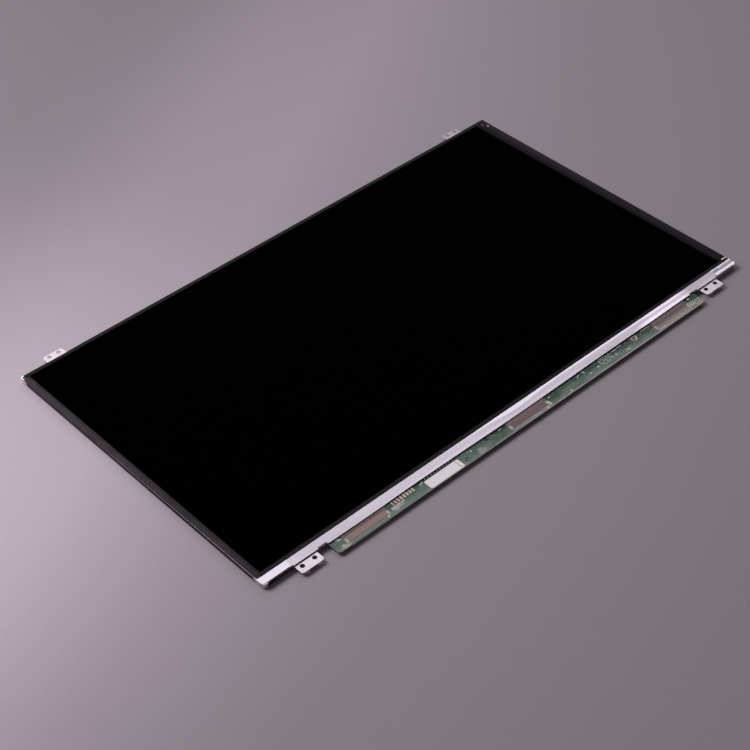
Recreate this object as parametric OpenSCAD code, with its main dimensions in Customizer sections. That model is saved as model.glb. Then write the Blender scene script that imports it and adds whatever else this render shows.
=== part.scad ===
// Bare laptop screen panel: a liquid crystal cell in a shallow stamped tray,
// lit from its lower edge, with the driver board along that edge.
// X runs along the long side, Y towards the top of the picture, Z out of the picture.
// The origin is the centre of the tray's flat back.

/* [Outline] */
// Width of the metal tray
panel_width = 359.3; // [330:0.1:400]
// Height of the metal tray, without the ears and the board
panel_height = 209.5; // [180:0.1:250]
// Thickness over the front polariser
panel_thickness = 3.6; // [3.5:0.05:4.6]
// Rounding of the tray's corners, seen from the front
corner_radius = 2; // [1.4:0.1:3]

/* [Tray] */
// Sheet that the tray is stamped from
sheet_thickness = 0.4; // [0.3:0.05:0.45]
// Inner radius of the tray's bends
bend_radius = 0.4; // [0.2:0.05:0.5]
// Space between the tray's walls and the frame inside them
tray_gap = 0.1; // [0.05:0.05:0.2]

/* [Ears] */
// Diameter of the screw holes
ear_hole = 2.7; // [1.8:0.1:2.8]
// Width of each top ear
top_ear_width = 12.8; // [11:0.1:15]
// Reach of the top ears beyond the tray
top_ear_reach = 5.85; // [5:0.05:7]
// Distance between the two holes of a top ear
top_ear_pitch = 6.2; // [5:0.1:8]
// Distance of the top ears' centres from the tray's sides
top_ear_inset = 24.75; // [15:0.05:40]
// Distance of the top ears' holes from the tray
top_hole_distance = 3.75; // [3:0.05:4]
// Width of each bottom ear
bottom_ear_width = 14.6; // [12:0.1:16]
// Reach of the bottom ears beyond the tray
bottom_ear_reach = 6.6; // [5.5:0.05:7.5]
// Distance between the two holes of a bottom ear
bottom_ear_pitch = 8; // [6:0.1:9]
// Distance of the bottom ears' centres from the tray's sides
bottom_ear_inset = 26.45; // [15:0.05:28]
// Distance of the bottom ears' holes from the tray
bottom_hole_distance = 2.6; // [2.4:0.05:4]
// Height of the ears' front face above the back
ear_level = 2.6; // [2:0.05:2.9]
// Rounding of the ears' outer corners
ear_corner = 1.6; // [0.5:0.1:2.2]
// Slot beside each ear that lets it bend
ear_relief = 0.6; // [0.4:0.1:1]
// Height of the wall left under those slots, above the bend
ear_relief_sill = 0.2; // [0.1:0.05:0.4]

/* [Frame] */
// Width of the moulded frame's rim at the left and right
rim_side = 2.3; // [1.5:0.1:3]
// Width of the rim at the top
rim_top = 1.2; // [0.8:0.1:1.4]
// Width of the rim at the bottom
rim_bottom = 1.5; // [1.2:0.1:1.8]
// Thickness of the inward ledge that carries the glass
ledge_thickness = 0.25; // [0.2:0.05:0.3]
// Reach of the ledge at the left and right
ledge_side = 2; // [1.5:0.1:2.2]
// Reach of the ledge at the top
ledge_top_reach = 1.4; // [1:0.1:1.6]
// Distance of the ledge's lower edge from the picture
ledge_margin = 0.4; // [0.2:0.05:0.6]
// Inner wall of the frame behind the row of lights
light_wall = 0.4; // [0.3:0.05:0.5]
// Space between the frame's walls and the glass
glass_gap = 0.2; // [0.1:0.05:0.3]
// Space between the frame's walls and the sheets behind the glass
sheet_gap = 0.3; // [0.2:0.05:0.5]

/* [Screen] */
// Visible border left and right of the front polariser
side_border = 4.3; // [4.1:0.05:6]
// Visible border above the front polariser
top_border = 2.75; // [2.6:0.05:4]
// Visible border below the front polariser
bottom_border = 8.15; // [7.9:0.05:9]
// Thickness of each of the two glass plates
glass_thickness = 0.5; // [0.4:0.05:0.5]
// Thickness of the front and rear polarisers
polariser_thickness = 0.2; // [0.15:0.05:0.2]
// Width of the lower glass plate that the upper one leaves bare
glass_step = 3; // [2.6:0.1:3.4]
// Adhesive between the frame's ledge and the glass
cell_tape_thickness = 0.1; // [0.05:0.05:0.1]
// Space between the rear polariser and the frame's ledge
polariser_gap = 0.2; // [0.1:0.05:0.3]

/* [Back light] */
// White reflector under the light guide
reflector_thickness = 0.15; // [0.1:0.05:0.2]
// Each of the four thin sheets over the light guide
film_thickness = 0.15; // [0.1:0.01:0.16]
// Space above the thin sheets
film_gap = 0.05; // [0.02:0.01:0.08]
// Distance of the light guide's lit edge from the tray's bottom
lit_edge = 5.85; // [5.7:0.05:6.2]
// Number of light emitting diodes along that edge
led_count = 40; // [24:1:60]
// Width of each light emitting diode
led_width = 3; // [2:0.1:3.8]
// Depth of each light emitting diode
led_depth = 0.8; // [0.6:0.05:1]
// Space between a light emitting diode and the light guide
led_gap = 0.1; // [0.05:0.05:0.2]
// Thickness of the printed flex over the diodes
flex_thickness = 0.15; // [0.1:0.05:0.2]
// Width of the flex, on both sides of the lit edge together
flex_width = 3.8; // [3.4:0.1:4]
// Part of the flex that lies on the light guide
flex_overlap = 1; // [0.6:0.1:1.2]
// Width of the flex's tail to the board
tail_width = 7; // [5:0.1:8]
// Reach of the tail beyond the tray
tail_reach = 3.7; // [3:0.1:4.2]

/* [Driver board] */
// Distance of the board's left end from the tray's left side
board_left_inset = 41.05; // [41:0.05:50]
// Distance of the board's right end from the tray's right side
board_right_inset = 38.45; // [38:0.05:48]
// Reach of the board beyond the tray
board_reach = 8.95; // [8:0.05:11]
// Thickness of the board
board_thickness = 0.6; // [0.4:0.05:0.8]
// Height of the board's front face above the back
board_level = 2.5; // [2.45:0.05:2.6]
// Rounding of the board's outer corners
board_corner = 1.8; // [0.5:0.1:3]
// Space between the board and the frame
board_gap = 0.2; // [0.1:0.05:0.4]
// Adhesive under the board's inner edge
board_tape_thickness = 0.1; // [0.05:0.05:0.15]
// Width of each of the three driver films
driver_film_width = 29.4; // [20:0.1:32]
// Thickness of the driver films
driver_film_thickness = 0.1; // [0.05:0.01:0.12]
// Reach of the driver films over the board, from the tray's bottom
driver_film_reach = 6.6; // [5.9:0.05:7.2]
// Distance of the first driver film from the board's left end
driver_film_left = 7.6; // [5:0.1:12]
// Distance of the last driver film from the board's right end
driver_film_right = 9.7; // [5:0.1:14]
// Part of each driver film that is bonded to the glass
film_bond = 1.25; // [1:0.05:1.6]
// Flat stretch of the film past the edge of the glass
film_flat = 0.15; // [0.1:0.05:0.2]
// Distance from the board's inner edge at which the film comes down to it
film_slope = 4.6; // [1:0.05:5]
// Length of the driver chip on each film
driver_chip_length = 18; // [12:0.1:19]
// Depth of the driver chip
driver_chip_depth = 1; // [0.7:0.05:1]
// Distance of the driver chip from the film's inner edge
driver_chip_margin = 0.1; // [0.05:0.05:0.2]
// Thickness of the driver chip
driver_chip_thickness = 0.3; // [0.2:0.05:0.35]

/* [Signal connector] */
// Distance of the connector's centre from the board's left end
connector_inset = 22; // [18:0.5:30]
// Length of the connector's body
connector_length = 25.6; // [23:0.1:28]
// Depth of the connector's body
connector_depth = 4; // [3.5:0.1:4.5]
// Height of the connector's body
connector_height = 1.1; // [0.9:0.05:1.2]
// Distance of the connector's mouth from the board's outer edge
connector_margin = 0.3; // [0.1:0.05:0.6]
// Number of spring contacts
contact_count = 40; // [30:1:40]
// Distance between two contacts
contact_pitch = 0.5; // [0.4:0.05:0.52]
// Width of each contact
contact_width = 0.25; // [0.15:0.05:0.3]
// Thickness of each contact
contact_thickness = 0.12; // [0.08:0.01:0.2]
// Distance of the contacts from the mouth
contact_setback = 0.4; // [0.2:0.05:0.8]
// Part of the slot left of the first contact and right of the last one
slot_margin = 0.6; // [0.3:0.05:0.8]
// Height of the slot
slot_height = 0.5; // [0.4:0.05:0.6]
// Depth of the slot
slot_depth = 2.6; // [2:0.1:3]
// Sheet of the connector's shell
shell_thickness = 0.12; // [0.08:0.01:0.2]
// Part of the connector that the shell leaves bare at its back
shell_setback = 1; // [0.5:0.1:1.5]

/* [Parts on the board's back] */
// Distance of their centre line from the board's, away from the tray
parts_shift = 0.6; // [0.4:0.05:0.8]
// Plastic left beside and above the flex's tail in its connector
tail_connector_wall = 1; // [0.6:0.1:1.4]
// Depth of that connector in front of the tail's end
tail_connector_front = 1.6; // [1.2:0.1:1.8]
// Depth of that connector behind the tail's end
tail_connector_back = 1.4; // [1:0.1:1.6]
// Height of that connector
tail_connector_height = 1; // [0.9:0.05:1.1]
// Space between the signal connector and the light driver's coil
light_coil_gap = 12; // [2:0.5:14]
// Side of the light driver's coil
light_coil_size = 4.4; // [3.6:0.1:5]
// Space between that coil and the light driver
light_driver_gap = 5; // [1:0.5:8]
// Side of the light driver
light_driver_size = 4; // [3:0.1:5]
// Thickness of the light driver
light_driver_height = 0.8; // [0.6:0.05:1]
// Space between the light driver and the tail's connector
tail_connector_gap = 13; // [2:0.5:16]
// Space between the tail's connector and the timing controller
controller_gap = 14; // [2:0.5:16]
// Side of the timing controller
controller_size = 6.5; // [5:0.1:6.6]
// Thickness of the timing controller
controller_height = 0.85; // [0.7:0.05:1]
// Space between the timing controller and the memory chip
memory_gap = 11; // [2:0.5:14]
// Length of the memory chip along the board
memory_length = 3; // [2:0.1:4]
// Depth of the memory chip
memory_depth = 4; // [3:0.1:5]
// Thickness of the memory chip
memory_height = 0.7; // [0.5:0.05:0.9]
// Space between the board's right end and the right row of capacitors
right_row_gap = 20; // [4:0.5:24]
// Space between the right row of capacitors and the middle one
middle_row_gap = 18; // [4:0.5:20]
// Space between the middle row of capacitors and the level shifter
shifter_gap = 5.5; // [1:0.5:8]
// Side of the level shifter
shifter_size = 5; // [4:0.1:6]
// Thickness of the level shifter
shifter_height = 0.85; // [0.7:0.05:1]
// Space between the level shifter and its coil
shifter_coil_gap = 8; // [1:0.5:10]
// Side of the level shifter's coil
shifter_coil_size = 3.4; // [2.8:0.1:4.4]
// Space between the left row of capacitors and the parts on both sides of it
left_row_gap = 8; // [1:0.5:12]
// Height of the coils
coil_height = 1.2; // [0.9:0.05:1.3]
// Thickness of the plates above and below each coil
coil_plate = 0.3; // [0.2:0.05:0.4]
// Distance of the coil's drum from the edge of its plates
coil_margin = 0.3; // [0.2:0.05:0.6]
// Length of the capacitors along the board
capacitor_length = 0.8; // [0.6:0.1:1.2]
// Depth of the capacitors
capacitor_depth = 1.6; // [1.2:0.1:2]
// Height of the capacitors
capacitor_height = 0.8; // [0.5:0.05:0.9]
// Distance between two capacitors of a row
capacitor_pitch = 2.6; // [1.6:0.1:3]
// Number of capacitors in the middle row and in the right one
capacitor_count = 8; // [2:1:9]
// Length of the resistors along the board
resistor_length = 0.5; // [0.3:0.05:0.8]
// Depth of the resistors
resistor_depth = 1; // [0.6:0.05:1.2]
// Height of the resistors
resistor_height = 0.35; // [0.25:0.05:0.5]
// Distance between two resistors of a row
resistor_pitch = 1.6; // [1:0.1:2]
// Number of resistors beside each of those two rows
resistor_count = 12; // [2:1:14]
// Space between a row of capacitors and the resistors beside it
resistor_gap = 1.6; // [0.4:0.1:1.8]

/* [Marks on the board's front] */
// Space between the first driver film and the gold pads
pad_gap = 4.2; // [2:0.05:10]
// Distance between two gold pads
pad_pitch = 2.05; // [1.6:0.05:2.2]
// Number of gold pads
pad_count = 8; // [2:1:9]
// Length of each gold pad along the board
pad_length = 1.1; // [0.6:0.1:1.4]
// Depth of each gold pad
pad_depth = 3.2; // [1.5:0.1:3.4]
// Distance of the gold pads' centres from the tray
pad_offset = 1.9; // [1.3:0.05:2]
// Thickness of the gold pads
pad_thickness = 0.04; // [0.02:0.01:0.08]
// Space between the ring pad and the last driver film
ring_gap = 12.7; // [3:0.1:30]
// Outer diameter of the ring pad
ring_outer = 4.6; // [2.4:0.1:5]
// Inner diameter of the ring pad
ring_inner = 1.6; // [1:0.1:2]
// Distance of the ring pad's centre from the tray
ring_offset = 2.05; // [1.7:0.05:3]
// Distance of the first front capacitor from the label's left end
front_row_inset = 1.8; // [0.5:0.1:4]
// Distance between two front capacitors
front_row_pitch = 2.2; // [1:0.1:2.4]
// Number of front capacitors
front_row_count = 10; // [2:1:12]
// Distance of the front capacitors' centres from the tray
front_row_offset = 0.85; // [0.8:0.05:0.9]
// Space between the gold pads and the label
label_gap = 7.1; // [1:0.1:20]
// Length of the label
label_length = 24; // [16:0.1:26]
// Distance of the label from the tray
label_offset = 2.2; // [1.6:0.05:3]
// Distance of the label from the board's outer edge
label_margin = 0.3; // [0:0.05:1]
// Thickness of the label
label_thickness = 0.1; // [0.05:0.01:0.15]

/* [Tapes and cover strip] */
// Thickness of the black tapes and of the cover strip
tape_thickness = 0.1; // [0.05:0.01:0.15]
// Space between a tape and the front polariser
tape_gap = 0.2; // [0.1:0.05:0.3]
// Height above the back at which the folded-over tape ends
tape_fold_end = 0.9; // [0.85:0.05:1.5]
// Distance from the top at which the side tapes end
corner_bare = 3.4; // [2.8:0.1:6]
// Distance of the bottom tapes from the rounded corners
bottom_tape_inset = 0.9; // [0:0.1:3]
// Distance of the cover strip's inner edge from the tray's bottom
strip_width = 6.05; // [5.9:0.05:6.2]
// Overhang of the cover strip beyond the tray, over the ears and the board
strip_overhang = 0.15; // [0.05:0.05:0.25]
// Step back of the cover strip at its ends and beside the board
strip_step = 0.95; // [0.7:0.05:1.1]
// Length of cover strip that passes each side of a bottom ear
strip_ear_margin = 1.4; // [1:0.1:1.8]
// Overhang of the cover strip past the board's left end
strip_board_overhang = 0.5; // [0.2:0.05:1]
// Part of the board's right end that the cover strip steps back from
strip_board_bare = 3.2; // [2:0.1:6]
// Rounding of the corners beside those steps
strip_round = 0.5; // [0.2:0.05:0.7]
// Height above the back at which the strip's folded ends stop
strip_fold_end = 1.2; // [1:0.05:2]
// Length of the strip's folded ends past its inner edge
strip_tab = 1.8; // [1:0.1:3]

/* [Hidden] */

$fn = 32;

// How far a cut runs out of the solid, and how far two joined or cut shapes overlap
slack = 1;
overlap = 0.1;

// Half sizes of the tray, outside and inside
half_w = panel_width / 2;
half_h = panel_height / 2;
inner_w = half_w - sheet_thickness;
inner_h = half_h - sheet_thickness;
outer_bend = bend_radius + sheet_thickness;

// Levels of the stack, from the front down to the light guide
front_top = panel_thickness;
glass_top = front_top - polariser_thickness;
filter_bottom = glass_top - glass_thickness;
cell_bottom = filter_bottom - glass_thickness;
ledge_top = cell_bottom - cell_tape_thickness;
ledge_bottom = ledge_top - ledge_thickness;
films_top = ledge_bottom - film_gap;
guide_top = films_top - 4 * film_thickness;
guide_bottom = sheet_thickness + reflector_thickness;
guide_thickness = guide_top - guide_bottom;

// Frame, outside and inside
frame_w = inner_w - tray_gap;
frame_h = inner_h - tray_gap;
rim_w = frame_w - rim_side;
rim_top_y = frame_h - rim_top;
rim_bottom_y = -(frame_h - rim_bottom);
ledge_w = rim_w - ledge_side;
ledge_top_y = rim_top_y - ledge_top_reach;
light_wall_y = rim_bottom_y + light_wall;

// Glass plates and polarisers
glass_w = rim_w - glass_gap;
glass_top_y = rim_top_y - glass_gap;
array_bottom_y = rim_bottom_y + glass_gap;
filter_bottom_y = array_bottom_y + glass_step;
screen_w = half_w - side_border;
screen_top_y = half_h - top_border;
screen_bottom_y = -(half_h - bottom_border);
ledge_bottom_y = screen_bottom_y - ledge_margin;

// Sheets of the back light
sheets_w = rim_w - sheet_gap;
sheets_top_y = rim_top_y - sheet_gap;
guide_edge_y = -(half_h - lit_edge);
flex_inner_y = guide_edge_y + flex_overlap;
flex_outer_y = flex_inner_y - flex_width;
films_bottom_y = flex_inner_y + sheet_gap;
led_pitch = 2 * sheets_w / led_count;

// Board
board_left = -half_w + board_left_inset;
board_right = half_w - board_right_inset;
board_outer_y = -half_h - board_reach;
board_inner_y = rim_bottom_y - board_gap;
board_top = board_level;
board_bottom = board_top - board_thickness;
rail_top = board_bottom - board_tape_thickness;

// Driver films
film_a_x = board_left + driver_film_left + driver_film_width / 2;
film_c_x = board_right - driver_film_right - driver_film_width / 2;
film_b_x = (film_a_x + film_c_x) / 2;
film_end_y = -half_h - driver_film_reach;
film_start_y = array_bottom_y + film_bond;
film_glass_y = array_bottom_y - film_flat;
film_board_y = board_inner_y - film_slope;

// Cover strip
strip_bottom = glass_top;
strip_inner_y = -(half_h - strip_width);
strip_out_y = -half_h - strip_overhang;
strip_back_y = strip_out_y + strip_step;
ear_x = half_w - bottom_ear_inset;
strip_ear_half = bottom_ear_width / 2 + strip_ear_margin;

// Signal connector and the other parts on the board
connector_x = board_left + connector_inset;
connector_front = board_outer_y + connector_margin;
connector_back = connector_front + connector_depth;
connector_bottom = board_bottom - connector_height;
slot_mid = board_bottom - connector_height / 2;
slot_half = contact_count * contact_pitch / 2 + slot_margin;

// Parts on the board's back, from its left end
parts_y = (board_outer_y + board_inner_y) / 2 - parts_shift;
light_coil_x = connector_x + connector_length / 2 + shell_thickness + light_coil_gap + light_coil_size / 2;
light_driver_x = light_coil_x + light_coil_size / 2 + light_driver_gap + light_driver_size / 2;
tail_half = tail_width / 2 + tail_connector_wall;
tail_x = light_driver_x + light_driver_size / 2 + tail_connector_gap + tail_half;
tail_cut = tail_width + 2 * sheet_gap;
tail_end_y = -half_h - tail_reach;
controller_x = tail_x + tail_half + controller_gap + controller_size / 2;
memory_x = controller_x + controller_size / 2 + memory_gap + memory_length / 2;
left_row_start = memory_x + memory_length / 2 + left_row_gap;

// Parts on the board's back, from its right end
row_length = (capacitor_count - 1) * capacitor_pitch + capacitor_length;
right_row_start = board_right - right_row_gap - row_length;
middle_row_start = right_row_start - middle_row_gap - row_length;
shifter_x = middle_row_start - shifter_gap - shifter_size / 2;
shifter_coil_x = shifter_x - shifter_size / 2 - shifter_coil_gap - shifter_coil_size / 2;
left_row_end = shifter_coil_x - shifter_coil_size / 2 - left_row_gap;
left_row_count = floor((left_row_end - left_row_start - capacitor_length) / capacitor_pitch) + 1;
resistor_y = parts_y + capacitor_depth / 2 + resistor_gap + resistor_depth / 2;

// Marks on the board's front
pad_x = film_a_x + driver_film_width / 2 + pad_gap;
label_x = pad_x + (pad_count - 1) * pad_pitch + pad_length + label_gap;
ring_x = film_c_x - driver_film_width / 2 - ring_gap - ring_outer / 2;

// Block between two corners
module block(x0, x1, y0, y1, z0, z1) {
    translate([x0, y0, z0])
        cube([x1 - x0, y1 - y0, z1 - z0]);
}

// Rectangle with all four corners rounded
module round_rect(x0, x1, y0, y1, r) {
    translate([x0 + r, y0])
        square([x1 - x0 - 2 * r, y1 - y0]);
    translate([x0, y0 + r])
        square([x1 - x0, y1 - y0 - 2 * r]);
    for (x = [x0 + r, x1 - r], y = [y0 + r, y1 - r])
        translate([x, y])
            circle(r);
}

// Rectangle with the two corners on its lower side rounded
module round_foot(x0, x1, y0, y1, r) {
    translate([x0, y0 + r])
        square([x1 - x0, y1 - y0 - r]);
    translate([x0 + r, y0])
        square([x1 - x0 - 2 * r, 2 * r]);
    for (x = [x0 + r, x1 - r])
        translate([x, y0 + r])
            circle(r);
}

// Section of a bent-up wall: outside face at x = 0, inside to +X, flat part of the back beyond the bend
module wall_section(top) {
    translate([0, outer_bend])
        square([sheet_thickness, top - outer_bend]);
    intersection() {
        translate([outer_bend, outer_bend])
            difference() {
                circle(outer_bend);
                circle(bend_radius);
            }
        square(outer_bend);
    }
}

// Straight stretch of the tray's wall on one side, seen as that side turned to face -Y
module wall_run(x0, x1, side_distance, top) {
    translate([x1, -side_distance, 0])
        rotate([90, 0, -90])
            linear_extrude(x1 - x0)
                mirror([1, 0])
                    wall_section(top);
}

// Rounded corner of the tray, around its own centre
module wall_corner(top) {
    rotate_extrude(angle = 90)
        translate([corner_radius, 0])
            mirror([1, 0])
                wall_section(top);
}

module tray_floor() {
    linear_extrude(sheet_thickness)
        round_rect(-half_w + outer_bend, half_w - outer_bend,
            -half_h + outer_bend, half_h - outer_bend, corner_radius - outer_bend);
}

// Walls along one long side: full height outside the ears, lower between them if asked
module long_wall(ear_centre, ear_width, middle_top) {
    cut = ear_width / 2 + ear_relief;
    wall_run(-half_w + corner_radius, -ear_centre - cut, half_h, glass_top);
    wall_run(-ear_centre - cut, -ear_centre + cut, half_h, outer_bend + ear_relief_sill);
    wall_run(-ear_centre + cut, ear_centre - cut, half_h, middle_top);
    wall_run(ear_centre - cut, ear_centre + cut, half_h, outer_bend + ear_relief_sill);
    wall_run(ear_centre + cut, half_w - corner_radius, half_h, glass_top);
}

// Ear on the side that faces -Y: bent out of the wall, with two screw holes
module ear(centre, width, reach, pitch, hole_distance) {
    bottom = ear_level - sheet_thickness;
    turn_y = -half_h - bend_radius;
    difference() {
        union() {
            block(centre - width / 2, centre + width / 2, -half_h, -half_h + sheet_thickness,
                outer_bend, bottom - bend_radius);
            translate([centre + width / 2, turn_y, bottom - bend_radius])
                rotate([90, 0, -90])
                    linear_extrude(width)
                        intersection() {
                            difference() {
                                circle(outer_bend);
                                circle(bend_radius);
                            }
                            translate([-outer_bend, 0])
                                square(outer_bend);
                        }
            translate([0, 0, bottom])
                linear_extrude(sheet_thickness)
                    round_foot(centre - width / 2, centre + width / 2, -half_h - reach, turn_y, ear_corner);
        }
        for (side = [-1, 1])
            translate([centre + side * pitch / 2, -half_h - hole_distance, bottom - slack])
                cylinder(h = sheet_thickness + 2 * slack, d = ear_hole);
    }
}

// Stamped tray with walls and four ears
module back_cover() {
    color("silver")
        difference() {
            union() {
                tray_floor();
                for (a = [0, 180])
                    rotate([0, 0, a])
                        translate([half_w - corner_radius, half_h - corner_radius, 0])
                            wall_corner(glass_top);
                for (a = [90, 270])
                    rotate([0, 0, a])
                        translate([half_h - corner_radius, half_w - corner_radius, 0])
                            wall_corner(glass_top);
                for (a = [90, 270])
                    rotate([0, 0, a])
                        wall_run(-half_h + corner_radius, half_h - corner_radius, half_w, glass_top);
                long_wall(half_w - bottom_ear_inset, bottom_ear_width, rail_top);
                rotate([0, 0, 180])
                    long_wall(half_w - top_ear_inset, top_ear_width, glass_top);
                for (side = [-1, 1]) {
                    ear(side * (half_w - bottom_ear_inset), bottom_ear_width, bottom_ear_reach,
                        bottom_ear_pitch, bottom_hole_distance);
                    rotate([0, 0, 180])
                        ear(side * (half_w - top_ear_inset), top_ear_width, top_ear_reach,
                            top_ear_pitch, top_hole_distance);
                }
            }
            block(tail_x - tail_cut / 2, tail_x + tail_cut / 2, -half_h - slack, -inner_h + overlap,
                guide_top - tray_gap, glass_top);
        }
}

// Black moulded frame: rim, glass ledge, rail for the board
module mould_frame() {
    corner = corner_radius - sheet_thickness - tray_gap;
    foot = bend_radius;
    color([0.09, 0.09, 0.1])
        difference() {
            union() {
                // foot, set in to clear the tray's inner bend
                translate([0, 0, sheet_thickness])
                    linear_extrude(foot)
                        round_rect(-frame_w + foot, frame_w - foot, -frame_h + foot, frame_h - foot,
                            corner - foot);
                translate([0, 0, sheet_thickness + foot])
                    linear_extrude(glass_top - sheet_thickness - foot)
                        round_rect(-frame_w, frame_w, -frame_h, frame_h, corner);
            }
            // room for the sheets, from the back up to the ledge
            block(-rim_w, rim_w, light_wall_y, rim_top_y, 0, ledge_bottom);
            // window inside the ledge
            block(-ledge_w, ledge_w, ledge_bottom_y, ledge_top_y, 0, front_top);
            // seat of the glass
            block(-rim_w, rim_w, rim_bottom_y, rim_top_y, ledge_top, front_top);
            // rail that the board lies on
            block(board_left - board_gap, board_right + board_gap, -half_h, rim_bottom_y,
                rail_top, front_top);
            // way out for the flex's tail
            block(tail_x - tail_cut / 2, tail_x + tail_cut / 2, -half_h, light_wall_y + overlap,
                guide_top - tray_gap, rail_top + overlap);
        }
}

module reflector_sheet() {
    color("white")
        block(-sheets_w, sheets_w, light_wall_y + sheet_gap, sheets_top_y, sheet_thickness, guide_bottom);
}

module light_guide() {
    color([0.88, 0.93, 0.95])
        block(-sheets_w, sheets_w, guide_edge_y, sheets_top_y, guide_bottom, guide_top);
}

// Printed flex over the diodes, with its tail to the board
module led_flex() {
    color([0.75, 0.6, 0.25])
        translate([0, 0, guide_top])
            linear_extrude(flex_thickness) {
                translate([-sheets_w, flex_outer_y])
                    square([2 * sheets_w, flex_width]);
                translate([tail_x - tail_width / 2, tail_end_y])
                    square([tail_width, flex_outer_y - tail_end_y + overlap]);
            }
}

module leds() {
    color([0.95, 0.93, 0.7])
        for (i = [0 : led_count - 1])
            translate([-sheets_w + (i + 0.5) * led_pitch - led_width / 2,
                guide_edge_y - led_gap - led_depth, guide_bottom])
                cube([led_width, led_depth, guide_thickness]);
}

// One of the thin sheets over the light guide, counted from the back
module film_sheet(number) {
    block(-sheets_w, sheets_w, films_bottom_y, sheets_top_y,
        guide_top + number * film_thickness, guide_top + (number + 1) * film_thickness);
}

module diffuser_sheet() {
    color([0.96, 0.96, 0.94])
        film_sheet(0);
}

module lower_prism_sheet() {
    color([0.86, 0.88, 0.9])
        film_sheet(1);
}

module upper_prism_sheet() {
    color([0.82, 0.86, 0.9])
        film_sheet(2);
}

module top_diffuser_sheet() {
    color([0.93, 0.94, 0.95])
        film_sheet(3);
}

// Adhesive ring between the ledge and the glass
module cell_tape() {
    color([0.15, 0.15, 0.15])
        difference() {
            block(-glass_w, glass_w, array_bottom_y, glass_top_y, ledge_top, cell_bottom);
            block(-ledge_w, ledge_w, ledge_bottom_y, ledge_top_y, 0, front_top);
        }
}

module rear_polariser() {
    color([0.25, 0.25, 0.28])
        block(-ledge_w + polariser_gap, ledge_w - polariser_gap,
            ledge_bottom_y + polariser_gap, ledge_top_y - polariser_gap,
            cell_bottom - polariser_thickness, cell_bottom);
}

module array_glass() {
    color([0.2, 0.25, 0.25])
        block(-glass_w, glass_w, array_bottom_y, glass_top_y, cell_bottom, filter_bottom);
}

module filter_glass() {
    color([0.12, 0.12, 0.14])
        block(-glass_w, glass_w, filter_bottom_y, glass_top_y, filter_bottom, glass_top);
}

module front_polariser() {
    color([0.02, 0.02, 0.02])
        block(-screen_w, screen_w, screen_bottom_y, screen_top_y, glass_top, front_top);
}

// Tape along one short side, folded down over the tray's wall
module side_tape(side) {
    outer = half_w + tape_thickness;
    inner = screen_w + tape_gap;
    top_y = half_h - corner_bare;
    mirror([side < 0 ? 1 : 0, 0, 0]) {
        block(inner, half_w, strip_inner_y + tape_gap, top_y, glass_top, glass_top + tape_thickness);
        block(half_w, outer, strip_inner_y + strip_tab + tape_gap, top_y, tape_fold_end,
            glass_top + tape_thickness);
    }
}

module tape_left() {
    color([0.24, 0.23, 0.25])
        side_tape(-1);
}

module tape_right() {
    color([0.14, 0.14, 0.15])
        side_tape(1);
}

// Tape along the top, folded down over the tray's wall beside the ears
module tape_top() {
    outer = half_h + tape_thickness;
    end = half_w - corner_radius;
    ear_centre = half_w - top_ear_inset;
    ear_cut = top_ear_width / 2 + ear_relief + tape_gap;
    color([0.14, 0.13, 0.14])
        difference() {
            union() {
                block(-end, end, screen_top_y + tape_gap, outer, glass_top, glass_top + tape_thickness);
                block(-end, end, half_h, outer, tape_fold_end, glass_top + tape_thickness);
            }
            for (side = [-1, 1])
                block(side * ear_centre - ear_cut, side * ear_centre + ear_cut, half_h - tape_gap,
                    outer + slack, 0, glass_top + tape_thickness + slack);
        }
}

// Tapes on the bottom wall, outside the ears, folded over its edge up to the cover strip
module tape_bottom() {
    outer = half_h + tape_thickness;
    start = ear_x + strip_ear_half + tape_gap;
    end = half_w - corner_radius - bottom_tape_inset;
    color([0.12, 0.12, 0.13])
        for (side = [0, 1])
            mirror([side, 0, 0]) {
                block(start, end, -outer, -half_h, tape_fold_end, glass_top + tape_thickness);
                block(start, end, -half_h, strip_back_y - tape_gap, glass_top, glass_top + tape_thickness);
            }
}

// Outline of the cover strip: back at the ends and beside the board, out over the ears and the board
module strip_outline() {
    round_foot(-half_w - tape_thickness, half_w + tape_thickness, strip_back_y, strip_inner_y,
        corner_radius);
    for (side = [-1, 1])
        round_foot(side * ear_x - strip_ear_half, side * ear_x + strip_ear_half,
            strip_out_y, strip_inner_y, strip_round);
    round_foot(board_left - strip_board_overhang, board_right - strip_board_bare,
        strip_out_y, strip_inner_y, strip_round);
}

// Silver cover strip over the lower glass edge, folded down at both ends
module cover_strip() {
    color([0.8, 0.77, 0.81])
        union() {
            translate([0, 0, strip_bottom])
                linear_extrude(tape_thickness)
                    strip_outline();
            for (side = [-1, 1])
                mirror([side < 0 ? 1 : 0, 0, 0])
                    block(half_w, half_w + tape_thickness, strip_back_y + corner_radius,
                        strip_inner_y + strip_tab, strip_fold_end, strip_bottom + tape_thickness);
        }
}

// Driver board below the tray, its inner edge on the frame's rail
module driver_board() {
    color([0.36, 0.48, 0.4])
        translate([0, 0, board_bottom])
            linear_extrude(board_thickness)
                round_foot(board_left, board_right, board_outer_y, board_inner_y, board_corner);
}

module board_tape() {
    color([0.9, 0.9, 0.85])
        block(board_left, board_right, -frame_h, board_inner_y, rail_top, board_bottom);
}

// Film from the glass to the board: flat on both, with a slope between them
module driver_film(x) {
    t = driver_film_thickness;
    color([0.47, 0.38, 0.34])
        translate([x - driver_film_width / 2, 0, 0])
            rotate([90, 0, 90])
                linear_extrude(driver_film_width)
                    polygon([
                        [film_start_y, filter_bottom],
                        [film_start_y, filter_bottom + t],
                        [film_glass_y, filter_bottom + t],
                        [film_board_y, board_top + t],
                        [film_end_y, board_top + t],
                        [film_end_y, board_top],
                        [film_board_y, board_top],
                        [film_glass_y, filter_bottom]
                    ]);
}

module driver_film_a() {
    driver_film(film_a_x);
}

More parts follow.
